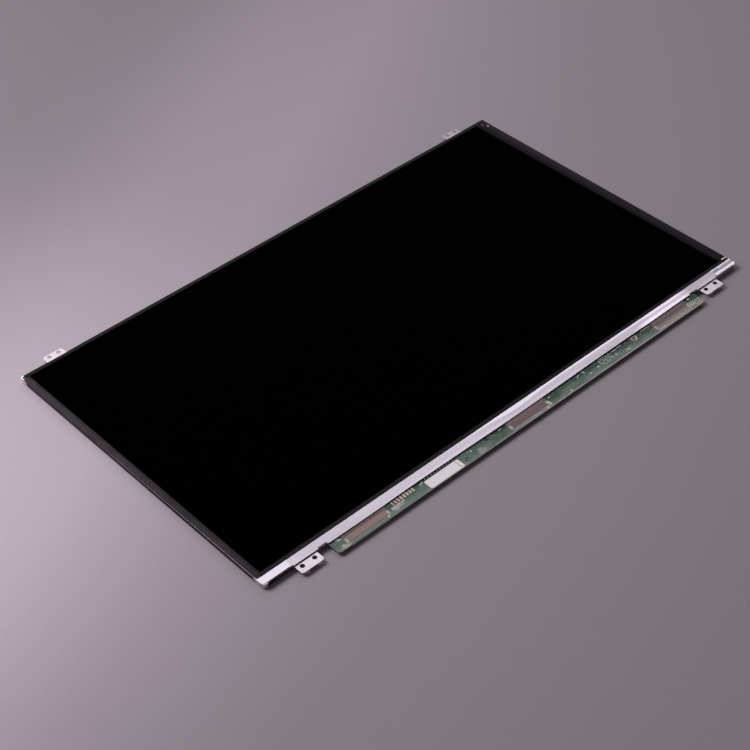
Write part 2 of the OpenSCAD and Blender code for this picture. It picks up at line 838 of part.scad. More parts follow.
module driver_film_b() {
    driver_film(film_b_x);
}

module driver_film_c() {
    driver_film(film_c_x);
}

// Long thin chip on each driver film, under the cover strip
module driver_chips() {
    z = filter_bottom + driver_film_thickness;
    color([0.12, 0.12, 0.13])
        for (x = [film_a_x, film_b_x, film_c_x])
            block(x - driver_chip_length / 2, x + driver_chip_length / 2,
                film_start_y - driver_chip_margin - driver_chip_depth, film_start_y - driver_chip_margin,
                z, z + driver_chip_thickness);
}

// Part that hangs from the board's back: centre, size along X and Y, height
module under_board(x, y, length, depth, height) {
    block(x - length / 2, x + length / 2, y - depth / 2, y + depth / 2, board_bottom - height, board_bottom);
}

// Plastic body of the signal connector, open towards the board's outer edge
module signal_connector() {
    color([0.85, 0.8, 0.68])
        difference() {
            block(connector_x - connector_length / 2, connector_x + connector_length / 2,
                connector_front, connector_back, connector_bottom, board_bottom);
            block(connector_x - slot_half, connector_x + slot_half,
                connector_front - slack, connector_front + slot_depth,
                slot_mid - slot_height / 2, slot_mid + slot_height / 2);
        }
}

// Sheet-metal shell over the connector's back and ends
module connector_shell() {
    x0 = connector_x - connector_length / 2;
    x1 = connector_x + connector_length / 2;
    y1 = connector_back - shell_setback;
    outside = connector_bottom - shell_thickness;
    color([0.75, 0.75, 0.76])
        union() {
            block(x0 - shell_thickness, x1 + shell_thickness, connector_front, y1,
                outside, connector_bottom);
            block(x0 - shell_thickness, x0, connector_front, y1, outside, board_bottom);
            block(x1, x1 + shell_thickness, connector_front, y1, outside, board_bottom);
        }
}

// Row of spring contacts along the slot's board side
module connector_contacts() {
    top = slot_mid + slot_height / 2;
    color([0.85, 0.68, 0.3])
        for (i = [0 : contact_count - 1])
            translate([connector_x + (i - (contact_count - 1) / 2) * contact_pitch - contact_width / 2,
                connector_front + contact_setback, top - contact_thickness])
                cube([contact_width, slot_depth - contact_setback, contact_thickness]);
}

// Flat-flex connector that takes the tail of the diodes' flex
module led_connector() {
    front = tail_end_y + tail_connector_front;
    color([0.88, 0.85, 0.78])
        difference() {
            block(tail_x - tail_half, tail_x + tail_half, tail_end_y - tail_connector_back, front,
                board_bottom - tail_connector_height, board_bottom);
            block(tail_x - tail_width / 2, tail_x + tail_width / 2, tail_end_y, front + slack,
                guide_top, guide_top + flex_thickness);
        }
}

module timing_controller() {
    color([0.1, 0.1, 0.11])
        under_board(controller_x, parts_y, controller_size, controller_size, controller_height);
}

module led_driver() {
    color([0.12, 0.12, 0.13])
        under_board(light_driver_x, parts_y, light_driver_size, light_driver_size, light_driver_height);
}

module level_shifter() {
    color([0.1, 0.1, 0.11])
        under_board(shifter_x, parts_y, shifter_size, shifter_size, shifter_height);
}

module memory_chip() {
    color([0.11, 0.11, 0.12])
        under_board(memory_x, parts_y, memory_length, memory_depth, memory_height);
}

// Square coil of a power stage: drum with a ferrite plate above and below
module coil(x, size) {
    bottom = board_bottom - coil_height;
    block(x - size / 2, x + size / 2, parts_y - size / 2, parts_y + size / 2, bottom, bottom + coil_plate);
    translate([x, parts_y, bottom + coil_plate])
        cylinder(h = coil_height - 2 * coil_plate, d = size - 2 * coil_margin);
    under_board(x, parts_y, size, size, coil_plate);
}

module power_coils() {
    color([0.25, 0.25, 0.26]) {
        coil(light_coil_x, light_coil_size);
        coil(shifter_coil_x, shifter_coil_size);
    }
}

// Row of capacitors on the board's back: left end and how many
module capacitor_row(start, count) {
    for (i = [0 : 1 : count - 1])
        under_board(start + capacitor_length / 2 + i * capacitor_pitch, parts_y,
            capacitor_length, capacitor_depth, capacitor_height);
}

module back_capacitors() {
    color([0.62, 0.52, 0.42]) {
        capacitor_row(left_row_start, left_row_count);
        capacitor_row(middle_row_start, capacitor_count);
        capacitor_row(right_row_start, capacitor_count);
    }
}

module back_resistors() {
    color([0.2, 0.2, 0.21])
        for (start = [middle_row_start, right_row_start], i = [0 : resistor_count - 1])
            under_board(start + resistor_length / 2 + i * resistor_pitch, resistor_y,
                resistor_length, resistor_depth, resistor_height);
}

// Row of small capacitors on the board's front, between the strip and the label
module front_capacitors() {
    y = -half_h - front_row_offset;
    color([0.45, 0.42, 0.4])
        for (i = [0 : front_row_count - 1])
            translate([label_x + front_row_inset + i * front_row_pitch - resistor_length / 2,
                y - resistor_depth / 2, board_top])
                cube([resistor_length, resistor_depth, resistor_height]);
}

// Gold pads on the board's front: a row, and one ring
module test_pads() {
    color([0.8, 0.66, 0.4]) {
        for (i = [0 : pad_count - 1])
            translate([pad_x + i * pad_pitch, -half_h - pad_offset - pad_depth / 2, board_top])
                cube([pad_length, pad_depth, pad_thickness]);
        translate([ring_x, -half_h - ring_offset, board_top])
            difference() {
                cylinder(h = pad_thickness, d = ring_outer);
                translate([0, 0, -slack])
                    cylinder(h = pad_thickness + 2 * slack, d = ring_inner);
            }
    }
}

// Blank paper label on the board's front
module board_label() {
    color([0.93, 0.93, 0.92])
        block(label_x, label_x + label_length, board_outer_y + label_margin, -half_h - label_offset,
            board_top, board_top + label_thickness);
}

back_cover();
mould_frame();
reflector_sheet();
light_guide();
led_flex();
leds();
diffuser_sheet();
lower_prism_sheet();
upper_prism_sheet();
top_diffuser_sheet();
cell_tape();
rear_polariser();
array_glass();
filter_glass();
front_polariser();
tape_left();
tape_right();
tape_top();
tape_bottom();
cover_strip();
driver_board();
board_tape();
driver_film_a();
driver_film_b();
driver_film_c();
driver_chips();
signal_connector();
connector_shell();
connector_contacts();
led_connector();
timing_controller();
led_driver();
level_shifter();
memory_chip();
power_coils();
front_capacitors();
back_capacitors();
back_resistors();
test_pads();
board_label();
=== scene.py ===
"""Looks for a bare laptop screen panel, built round its fixed frame.

Each operator makes or finishes one piece or one group of like pieces, and main() runs them in
order. X runs along the long side, Y towards the top of the picture, Z out of the picture, and
the origin is the centre of the tray's flat back. Sizes in the tables are in millimetres.
"""
import math
import random

import bpy
from bpy.props import FloatProperty, FloatVectorProperty, IntProperty, PointerProperty
from mathutils import Matrix, Vector, noise


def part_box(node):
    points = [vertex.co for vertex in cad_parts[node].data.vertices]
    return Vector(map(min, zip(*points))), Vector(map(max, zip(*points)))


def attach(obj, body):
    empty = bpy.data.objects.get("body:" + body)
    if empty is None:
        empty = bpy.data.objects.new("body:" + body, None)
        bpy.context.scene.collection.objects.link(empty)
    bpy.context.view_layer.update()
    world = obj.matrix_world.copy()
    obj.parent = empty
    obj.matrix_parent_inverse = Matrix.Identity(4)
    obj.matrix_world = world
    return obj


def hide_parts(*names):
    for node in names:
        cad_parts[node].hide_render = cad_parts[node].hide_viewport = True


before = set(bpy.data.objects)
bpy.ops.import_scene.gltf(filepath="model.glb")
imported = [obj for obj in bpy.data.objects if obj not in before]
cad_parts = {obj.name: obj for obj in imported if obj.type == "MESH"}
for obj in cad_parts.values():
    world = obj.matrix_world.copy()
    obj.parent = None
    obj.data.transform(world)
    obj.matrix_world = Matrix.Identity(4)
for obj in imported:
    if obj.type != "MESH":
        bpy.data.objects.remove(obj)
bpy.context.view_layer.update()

bl_info = {
    "name": "Laptop Screen Panel",
    "version": (1, 0, 0),
    "blender": (4, 5, 0),
    "location": "View3D > Sidebar > Screen Panel",
    "description": "Finishes a bare laptop screen panel and sets its studio",
    "category": "Add Mesh",
}

MM = 0.001
# Ends and top of the tray, the ends of the panel over its foil and tapes, and the spans of the top ears
TRAY_END, TRAY_TOP, PANEL_END = 179.65, 3.4, 179.75
TOP_EARS = ((-161.9, -147.9), (147.9, 161.9))
# Upper face of the driver board, and the label's left, right, outer and inner edges
BOARD_TOP = 2.5
LABEL = (-74.85, -50.85, -113.4, -106.95)
# Places of the two colours and of the result on a Mix node that mixes colours
MIX_A, MIX_B, MIX_RESULT = 6, 7, 2


# Colours, nodes and materials


def linear(code):
    """Linear RGB of an sRGB hex value."""
    channels = [int(code[i:i + 2], 16) / 255 for i in (0, 2, 4)]
    return tuple(c / 12.92 if c <= 0.04045 else ((c + 0.055) / 1.055) ** 2.4 for c in channels)


def feed(node, inputs):
    """Sets or links a node's inputs: each is a value, a socket, or a node that gives its first output."""
    for key, value in inputs.items():
        socket = node.inputs[key]
        source = value.outputs[0] if isinstance(value, bpy.types.Node) else value
        if isinstance(source, bpy.types.NodeSocket):
            node.id_data.links.new(source, socket)
        elif socket.type == "RGBA":
            socket.default_value = (*value[:3], 1)
        else:
            socket.default_value = value


def add(tree, kind, inputs=None, stops=None, **settings):
    """Adds a node with its settings, the stops of its colour ramp and its inputs."""
    made = tree.nodes.new("ShaderNode" + kind)
    for key, value in settings.items():
        setattr(made, key, value)
    if stops:
        ends = made.color_ramp.elements
        ends[0].position, ends[0].color = stops[0][0], (*stops[0][1], 1)
        ends[1].position, ends[1].color = stops[-1][0], (*stops[-1][1], 1)
        for position, colour in stops[1:-1]:
            ends.new(position).color = (*colour, 1)
    feed(made, inputs or {})
    return made


def new_material(name, **sockets):
    """A principled material: its tree, its shader and the place on the piece in millimetres.

    Values that are the same all over are set on the shader itself.
    """
    made = bpy.data.materials.new(name)
    made.use_nodes = True
    tree = made.node_tree
    tree.nodes.clear()
    shader = add(tree, "BsdfPrincipled", {key.replace("_", " "): value for key, value in sockets.items()})
    add(tree, "OutputMaterial", {"Surface": shader})
    spot = add(tree, "TexCoord").outputs["Object"]
    place = add(tree, "Mapping", {"Vector": spot, "Scale": (1 / MM, 1 / MM, 1 / MM)})
    return made, tree, shader, place


def mottled_material(name, dark, light, scale=2.0, detail=2, stretch=(1, 1, 1), share=(0.3, 0.7), **sockets):
    """A material that wanders between two tones in patches 1 / scale mm wide, stretched along its axes."""
    made, tree, shader, place = new_material(name, **sockets)
    drawn = add(tree, "Mapping", {"Vector": place, "Scale": stretch})
    patches = add(tree, "TexNoise", {"Vector": drawn, "Scale": scale, "Detail": detail})
    tone = add(tree, "ValToRGB", {"Fac": patches}, stops=[(share[0], dark), (share[1], light)])
    feed(shader, {"Base Color": tone})
    return made, tree, shader, patches


def grey(value):
    """A colour with all three channels alike, for ramps that drive a single number."""
    return (value, value, value)


def toned(colour, factor):
    """A colour made darker or brighter by one factor."""
    return tuple(factor * c for c in colour)


def finish_node(node, made):
    """Gives one CAD node a material."""
    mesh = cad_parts[node].data
    mesh.materials.clear()
    mesh.materials.append(made)


# Meshes


class Sheet:
    """Vertices and faces of one piece, gathered in millimetres."""

    def __init__(self):
        self.points = []
        self.faces = []

    def prism(self, outline, low, high):
        """Upright prism over a counter-clockwise outline of (x, y)."""
        start, n = len(self.points), len(outline)
        self.points += [(x, y, low) for x, y in outline] + [(x, y, high) for x, y in outline]
        self.faces.append([start + n - 1 - i for i in range(n)])
        self.faces.append([start + n + i for i in range(n)])
        for i in range(n):
            j = (i + 1) % n
            self.faces.append([start + i, start + j, start + n + j, start + n + i])

    def bar(self, x0, x1, y0, y1, low, high):
        """Flat bar between two corners."""
        self.prism([(x0, y0), (x1, y0), (x1, y1), (x0, y1)], low, high)

    def disc(self, x, y, radius, low, high, sides=16):
        """Round dot."""
        turn = [2 * math.pi * i / sides for i in range(sides)]
        self.prism([(x + radius * math.cos(a), y + radius * math.sin(a)) for a in turn], low, high)

    def ring(self, x, y, outer, inner, low, high, sides=24):
        """Flat ring."""
        start = len(self.points)
        for radius, z in ((outer, low), (outer, high), (inner, high), (inner, low)):
            for i in range(sides):
                a = 2 * math.pi * i / sides
                self.points.append((x + radius * math.cos(a), y + radius * math.sin(a), z))
        for ring in range(4):
            for i in range(sides):
                j, after = (i + 1) % sides, (ring + 1) % 4
                self.faces.append([start + ring * sides + i, start + ring * sides + j,
                                   start + after * sides + j, start + after * sides + i])

    def ribbon(self, path, width, low, high):
        """Flat line of even width along a path of (x, y)."""
        half = width / 2
        left, right = [], []
        for i, (x, y) in enumerate(path):
            a, b = path[max(i - 1, 0)], path[min(i + 1, len(path) - 1)]
            along = Vector((b[0] - a[0], b[1] - a[1])).normalized()
            left.append((x - along.y * half, y + along.x * half))
            right.append((x + along.y * half, y - along.x * half))
        start, n = len(self.points), len(path)
        for side, z in ((left, low), (left, high), (right, high), (right, low)):
            self.points += [(x, y, z) for x, y in side]
        for row in range(4):
            after = (row + 1) % 4
            for i in range(n - 1):
                self.faces.append([start + row * n + i, start + after * n + i,
                                   start + after * n + i + 1, start + row * n + i + 1])
        self.faces.append([start + row * n for row in (3, 2, 1, 0)])
        self.faces.append([start + row * n + n - 1 for row in range(4)])

    def loft(self, sections):
        """Closed skin through sections of equal length, each a closed loop of points, capped at both ends."""
        start, n = len(self.points), len(sections[0])
        for section in sections:
            self.points += section
        for s in range(len(sections) - 1):
            for i in range(n):
                j = (i + 1) % n
                a, b = start + s * n, start + (s + 1) * n
                self.faces.append([a + i, a + j, b + j, b + i])
        self.faces.append([start + n - 1 - i for i in range(n)])
        self.faces.append([start + (len(sections) - 1) * n + i for i in range(n)])

    def piece(self, name, slot, material, stands_for=(), smooth=False):
        """Turns what was gathered into an object that rides on the panel."""
        mesh = bpy.data.meshes.new(name)
        mesh.from_pydata([tuple(MM * c for c in point) for point in self.points], [], self.faces)
        mesh.validate()
        made = bpy.data.objects.new(name, mesh)
        bpy.context.scene.collection.objects.link(made)
        bpy.context.view_layer.objects.active = made
        made.select_set(True)
        bpy.ops.object.mode_set(mode="EDIT")
        bpy.ops.mesh.select_all(action="SELECT")
        bpy.ops.mesh.normals_make_consistent(inside=False)
        bpy.ops.object.mode_set(mode="OBJECT")
        made.select_set(False)
        if smooth:
            mesh.shade_smooth()
            mesh.set_sharp_from_angle(angle=math.radians(30))
        mesh.materials.append(material)
        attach(made, "root")
        if stands_for:
            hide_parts(*stands_for)
        return made


def spread(low, high, step):
    """Even places from low to high, about a step apart."""
    count = max(1, round((high - low) / step))
    return [low + (high - low) * i / count for i in range(count + 1)]


def wander(place, size, seed):
    """Slow irregular offset in millimetres along an edge, from smooth noise."""
    return size * noise.noise(Vector((place * 0.35, seed * 7.3, 0.2)))


def bump_at(value, centre, width):
    """Smooth hump of height 1 around a centre."""
    return math.exp(-((value - centre) / width) ** 2)


def fade(value, start, end):
    """0 before start, 1 after end, smooth between."""
    t = min(1, max(0, (value - start) / (end - start)))
    return t * t * (3 - 2 * t)


# Sizes and colours that a user would change


LENGTH = {"min": 0, "unit": "LENGTH", "subtype": "DISTANCE"}
COLOUR = {"size": 3, "min": 0, "max": 1, "subtype": "COLOR"}


class PanelSizes(bpy.types.PropertyGroup):
    """Sizes of the panel's soft and printed details."""

    tape_ragged: FloatProperty(
        name="Ragged tape edge", description="How far the cut edges of the black tapes wander",
        default=0.16 * MM, **LENGTH)
    bare_rim: FloatProperty(
        name="Bare rim", description="Metal rim that the skewed left tape leaves bare at its lower end",
        default=0.13 * MM, **LENGTH)
    crease: FloatProperty(
        name="Strip crease", description="Height of the creases at the right end of the cover strip",
        default=0.1 * MM, **LENGTH)
    droop: FloatProperty(
        name="Strip droop", description="How far the strip's free edge sinks where the board lies below it",
        default=0.1 * MM, **LENGTH)
    track_width: FloatProperty(
        name="Track width", description="Width of the copper tracks under the solder mask",
        default=0.2 * MM, **LENGTH)
    tracks: IntProperty(
        name="Tracks", description="Copper tracks in each free stretch of the board", default=7, min=0)
    lamp_width: FloatProperty(
        name="Lamp width", description="Width of the studio lamp's soft box",
        default=0.5, **LENGTH)


class PanelColours(bpy.types.PropertyGroup):
    """Colours of the panel's visible finishes."""

    sheet_metal: FloatVectorProperty(
        name="Sheet metal", description="Stamped aluminium of the tray and its ears",
        default=linear("dcd7dc"), **COLOUR)
    foil: FloatVectorProperty(
        name="Foil", description="Aluminised film of the cover strip",
        default=linear("faf5ff"), **COLOUR)
    side_tape: FloatVectorProperty(
        name="Side tape", description="Black polyester tape on the left side",
        default=linear("3a3239"), **COLOUR)
    edge_tape: FloatVectorProperty(
        name="Edge tape", description="Black polyester tape on the other sides",
        default=linear("1b161a"), **COLOUR)
    solder_mask: FloatVectorProperty(
        name="Solder mask", description="Green lacquer of the driver board",
        default=linear("68796f"), **COLOUR)
    copper_pour: FloatVectorProperty(
        name="Copper pour", description="Darker green where copper fills the board under its mask",
        default=linear("244a36"), **COLOUR)
    driver_film: FloatVectorProperty(
        name="Driver film", description="Brown polyimide of the driver films",
        default=linear("80645d"), **COLOUR)
    floor: FloatVectorProperty(
        name="Floor", description="Seamless paper that the panel lies on",
        default=linear("cdc4cd"), **COLOUR)


# Tray and frame


class SCREEN_OT_tray(bpy.types.Operator):
    """Finish the stamped tray with its four ears"""

    bl_idname = "screen_panel.tray"
    bl_label = "Tray"

    def execute(self, context):
        # Aluminium sheet, rolled and stamped: bright, with a faint grain along the rolling direction
        colours = context.scene.panel_colours
        made, tree, shader, place = new_material("stamped_aluminium_sheet", Metallic=0.9)
        # Rolling lines are under 0.1 mm wide: drawn 0.5 mm wide to show
        rolled = add(tree, "Mapping", {"Vector": place, "Scale": (0.03, 2, 2)})
        lines = add(tree, "TexNoise", {"Vector": rolled, "Scale": 1, "Detail": 3})
        broad = add(tree, "Mapping", {"Vector": place, "Scale": (0.04, 0.04, 0.04)})
        clouds = add(tree, "TexNoise", {"Vector": broad, "Scale": 1, "Detail": 2})
        tone = add(tree, "ValToRGB", {"Fac": clouds},
                   stops=[(0.3, toned(colours.sheet_metal, 0.86)), (0.7, tuple(colours.sheet_metal))])
        # Painted shade: the sheet is darker towards the top right, where the light is weaker
        spot = add(tree, "VectorMath", {0: place, 1: (155, 108, 0)}, operation="DISTANCE")
        painted_shade_top_right = add(tree, "MapRange", {"Value": spot.outputs["Value"], "From Min": 20, "From Max": 120,
                                         "To Min": 0.58, "To Max": 1})
        shaded_sheet_tone = add(tree, "VectorMath", {0: tone, "Scale": painted_shade_top_right}, operation="SCALE")
        rough = add(tree, "MapRange", {"Value": lines, "To Min": 0.38, "To Max": 0.52})
        bump = add(tree, "Bump", {"Height": lines, "Strength": 0.08, "Distance": 0.05 * MM})
        feed(shader, {"Base Color": shaded_sheet_tone, "Roughness": rough, "Normal": bump})
        finish_node("back_cover", made)
        return {"FINISHED"}


class SCREEN_OT_mould_frame(bpy.types.Operator):
    """Finish the black frame inside the tray"""

    bl_idname = "screen_panel.mould_frame"
    bl_label = "Moulded Frame"

    def execute(self, context):
        # Polycarbonate, injection moulded in an eroded tool: dull black with a fine even grain
        made, tree, shader, place = new_material("moulded_polycarbonate", Base_Color=linear("1a191b"),
                                                 IOR=1.58, Roughness=0.5)
        # Eroded grain is about 0.05 mm: drawn at 0.3 mm
        grain = add(tree, "TexNoise", {"Vector": place, "Scale": 3.3, "Detail": 2})
        bump = add(tree, "Bump", {"Height": grain, "Strength": 0.3, "Distance": 0.03 * MM})
        feed(shader, {"Normal": bump})
        finish_node("mould_frame", made)
        return {"FINISHED"}


# Screen and the layers behind it


class SCREEN_OT_screen(bpy.types.Operator):
    """Finish the polarisers and the two glass plates"""

    bl_idname = "screen_panel.screen"
    bl_label = "Screen"

    def execute(self, context):
        # Polariser film with an anti-reflection coat: it swallows nearly all light
        made, tree, shader, place = new_material("coated_polariser_film", IOR=1.5, Roughness=0.3,
                                                 Specular_IOR_Level=0.001)
        # Right border, outside the picture: dull dark grey that fades into the black over 3 mm, a little askew
        across = add(tree, "VectorMath", {0: place, 1: (1, 0.007, 0)}, operation="DOT_PRODUCT")
        border = add(tree, "MapRange", {"Value": across.outputs["Value"], "From Min": 171.3, "From Max": 174.2},
                     interpolation_type="SMOOTHSTEP")
        tone = add(tree, "ValToRGB", {"Fac": border},
                   stops=[(0, grey(0.0002)), (1, linear("242126"))])
        feed(shader, {"Base Color": tone})
        for node in ("front_polariser", "rear_polariser"):
            finish_node(node, made)

        # Display glass, polished, with a printed black border under it: dark with a faint shine
        glass, tree, shader, place = new_material("bordered_display_glass", IOR=1.52, Roughness=0.12,
                                                  Specular_IOR_Level=0.05)
        across = add(tree, "SeparateXYZ", {"Vector": place}).outputs["X"]
        tone = add(tree, "MapRange", {"Value": across, "From Min": -180, "From Max": 60})
        colour = add(tree, "ValToRGB", {"Fac": tone},
                     stops=[(0, linear("231f23")), (1, linear("0d0b0d"))])
        feed(shader, {"Base Color": colour})
        finish_node("filter_glass", glass)

        # The lower plate carries fine metal lines to its edge: grey, cut by a diamond wheel
        lined, tree, shader, place = new_material("etched_array_glass", IOR=1.52, Roughness=0.15)
        # Line pitch is about 0.05 mm: drawn at 0.4 mm
        lines = add(tree, "TexWave", {"Vector": place, "Scale": 0.8}, bands_direction="X")
        colour = add(tree, "ValToRGB", {"Fac": lines.outputs["Fac"]},
                     stops=[(0.4, linear("23302c")), (0.6, linear("4a5450"))])
        feed(shader, {"Base Color": colour})
        finish_node("array_glass", lined)
        return {"FINISHED"}


class SCREEN_OT_light_layers(bpy.types.Operator):
    """Finish the light guide, its sheets and its row of diodes"""

    bl_idname = "screen_panel.light_layers"
    bl_label = "Light Layers"

    def execute(self, context):
        layers = {
            # node: name, colour, roughness, IOR, pattern pitch in mm, contrast
            # White foamed polyester: bright, dull, with a soft fleck
            "reflector_sheet": ("foamed_polyester_reflector", "f2f2ee", 0.6, 1.57, 0.6, 0.96),
            # Cast acrylic plate: clear, with rows of printed dots that let the light out
            "light_guide": ("polished_acrylic_guide", "dfe9ec", 0.08, 1.49, 1.2, 0.9),
            # Beaded polyester sheet: milky, with a fine grit
            "diffuser_sheet": ("beaded_polyester_diffuser", "eeeeea", 0.5, 1.57, 0.4, 0.95),
            "top_diffuser_sheet": ("beaded_polyester_top_sheet", "e8eaec", 0.5, 1.57, 0.4, 0.95),
            # Grooved acrylic sheet: silvery, with fine parallel prisms
            "lower_prism_sheet": ("grooved_acrylic_sheet", "d2d6da", 0.2, 1.56, 0.5, 0.85),
            "upper_prism_sheet": ("grooved_acrylic_top_sheet", "c9d0d8", 0.2, 1.56, 0.5, 0.85),
            # Yellow phosphor under clear silicone in a white moulded cup
            "leds": ("phosphor_diode_package", "e9dd9a", 0.35, 1.45, 1.0, 0.9),
            # Polyimide flex with plated tracks: amber, slightly glossy
            "led_flex": ("plated_polyimide_flex", "b58a35", 0.35, 1.7, 0.8, 0.7),
            # Double-sided adhesive on a black carrier
            "cell_tape": ("black_foam_adhesive", "232323", 0.7, 1.5, 0.5, 0.8),
            # White adhesive under the board's inner edge
            "board_tape": ("white_paper_adhesive", "d9d6cc", 0.7, 1.5, 0.5, 0.9),
        }
        for node, (name, code, rough, ior, pitch, contrast) in layers.items():
            colour = linear(code)
            made, *_ = mottled_material(name, toned(colour, contrast), colour, 1 / pitch, share=(0.35, 0.65),
                                        IOR=ior, Roughness=rough)
            finish_node(node, made)
        return {"FINISHED"}


# Black tapes


def tape_material(name, colour, axis, start, end, inner=0.12):
    """Polyester tape, calendered and dyed black: dull, greyer towards its outer edge, where on the right tape the
    fold has a painted highlight.

    Its tone rises from the inner share to the whole, from start to end in millimetres along an axis.
    """
    made, tree, shader, place = new_material(name, Roughness=0.6, IOR=1.57, Specular_IOR_Level=0.12)
    # Surface grain of about 0.1 mm: drawn at 0.5 mm
    grain = add(tree, "TexNoise", {"Vector": place, "Scale": 2, "Detail": 3})
    broad = add(tree, "Mapping", {"Vector": place, "Scale": (0.08, 0.08, 0.08)})
    scuffs = add(tree, "TexNoise", {"Vector": broad, "Scale": 1, "Detail": 4})
    mixed = add(tree, "Math", {0: grain, 1: scuffs}, operation="MULTIPLY")
    # Painted light: the upper ends of the tapes, towards the lamp, are a shade lighter
    length = add(tree, "SeparateXYZ", {"Vector": place}).outputs["Y"]
    painted_light_towards_top = add(tree, "MapRange", {"Value": length, "From Min": -100, "From Max": 60,
                                    "To Min": -0.17, "To Max": 0.03})
    grain_and_painted_light = add(tree, "Math", {0: mixed, 1: painted_light_towards_top}, operation="ADD")
    # Greyer outwards across the tape; on the right tape this is a painted highlight along its fold
    across = add(tree, "SeparateXYZ", {"Vector": place}).outputs[axis]
    outward = add(tree, "Math", {0: across}, operation="ABSOLUTE")
    stretched = add(tree, "MapRange", {"Value": outward, "From Min": start, "From Max": end,
                                       "To Min": inner}, interpolation_type="SMOOTHSTEP")
    shown = add(tree, "Math", {0: grain_and_painted_light, 1: stretched}, operation="MULTIPLY")
    tone = add(tree, "ValToRGB", {"Fac": shown},
               stops=[(0, grey(0.001)), (0.1, toned(colour, 0.45)), (0.4, toned(colour, 1.2))])
    bump = add(tree, "Bump", {"Height": grain, "Strength": 0.25, "Distance": 0.04 * MM})
    feed(shader, {"Base Color": tone, "Normal": bump})
    return made


def folded_section(inner, outer, top, low, thick, radius=0.18):
    """Loop of (out, up) for a sheet that lies flat, turns down over an edge and ends at low."""
    arc = [math.radians(a) for a in (90, 60, 30, 0)]
    over = [(outer - radius + radius * math.cos(a), top - radius + radius * math.sin(a)) for a in arc]
    tight = radius - thick
    under = [(outer - radius + tight * math.cos(a), top - radius + tight * math.sin(a)) for a in arc]
    return [(inner, top)] + over + [(outer, low), (outer - thick, low)] + under[::-1] + [(inner, top - thick)]


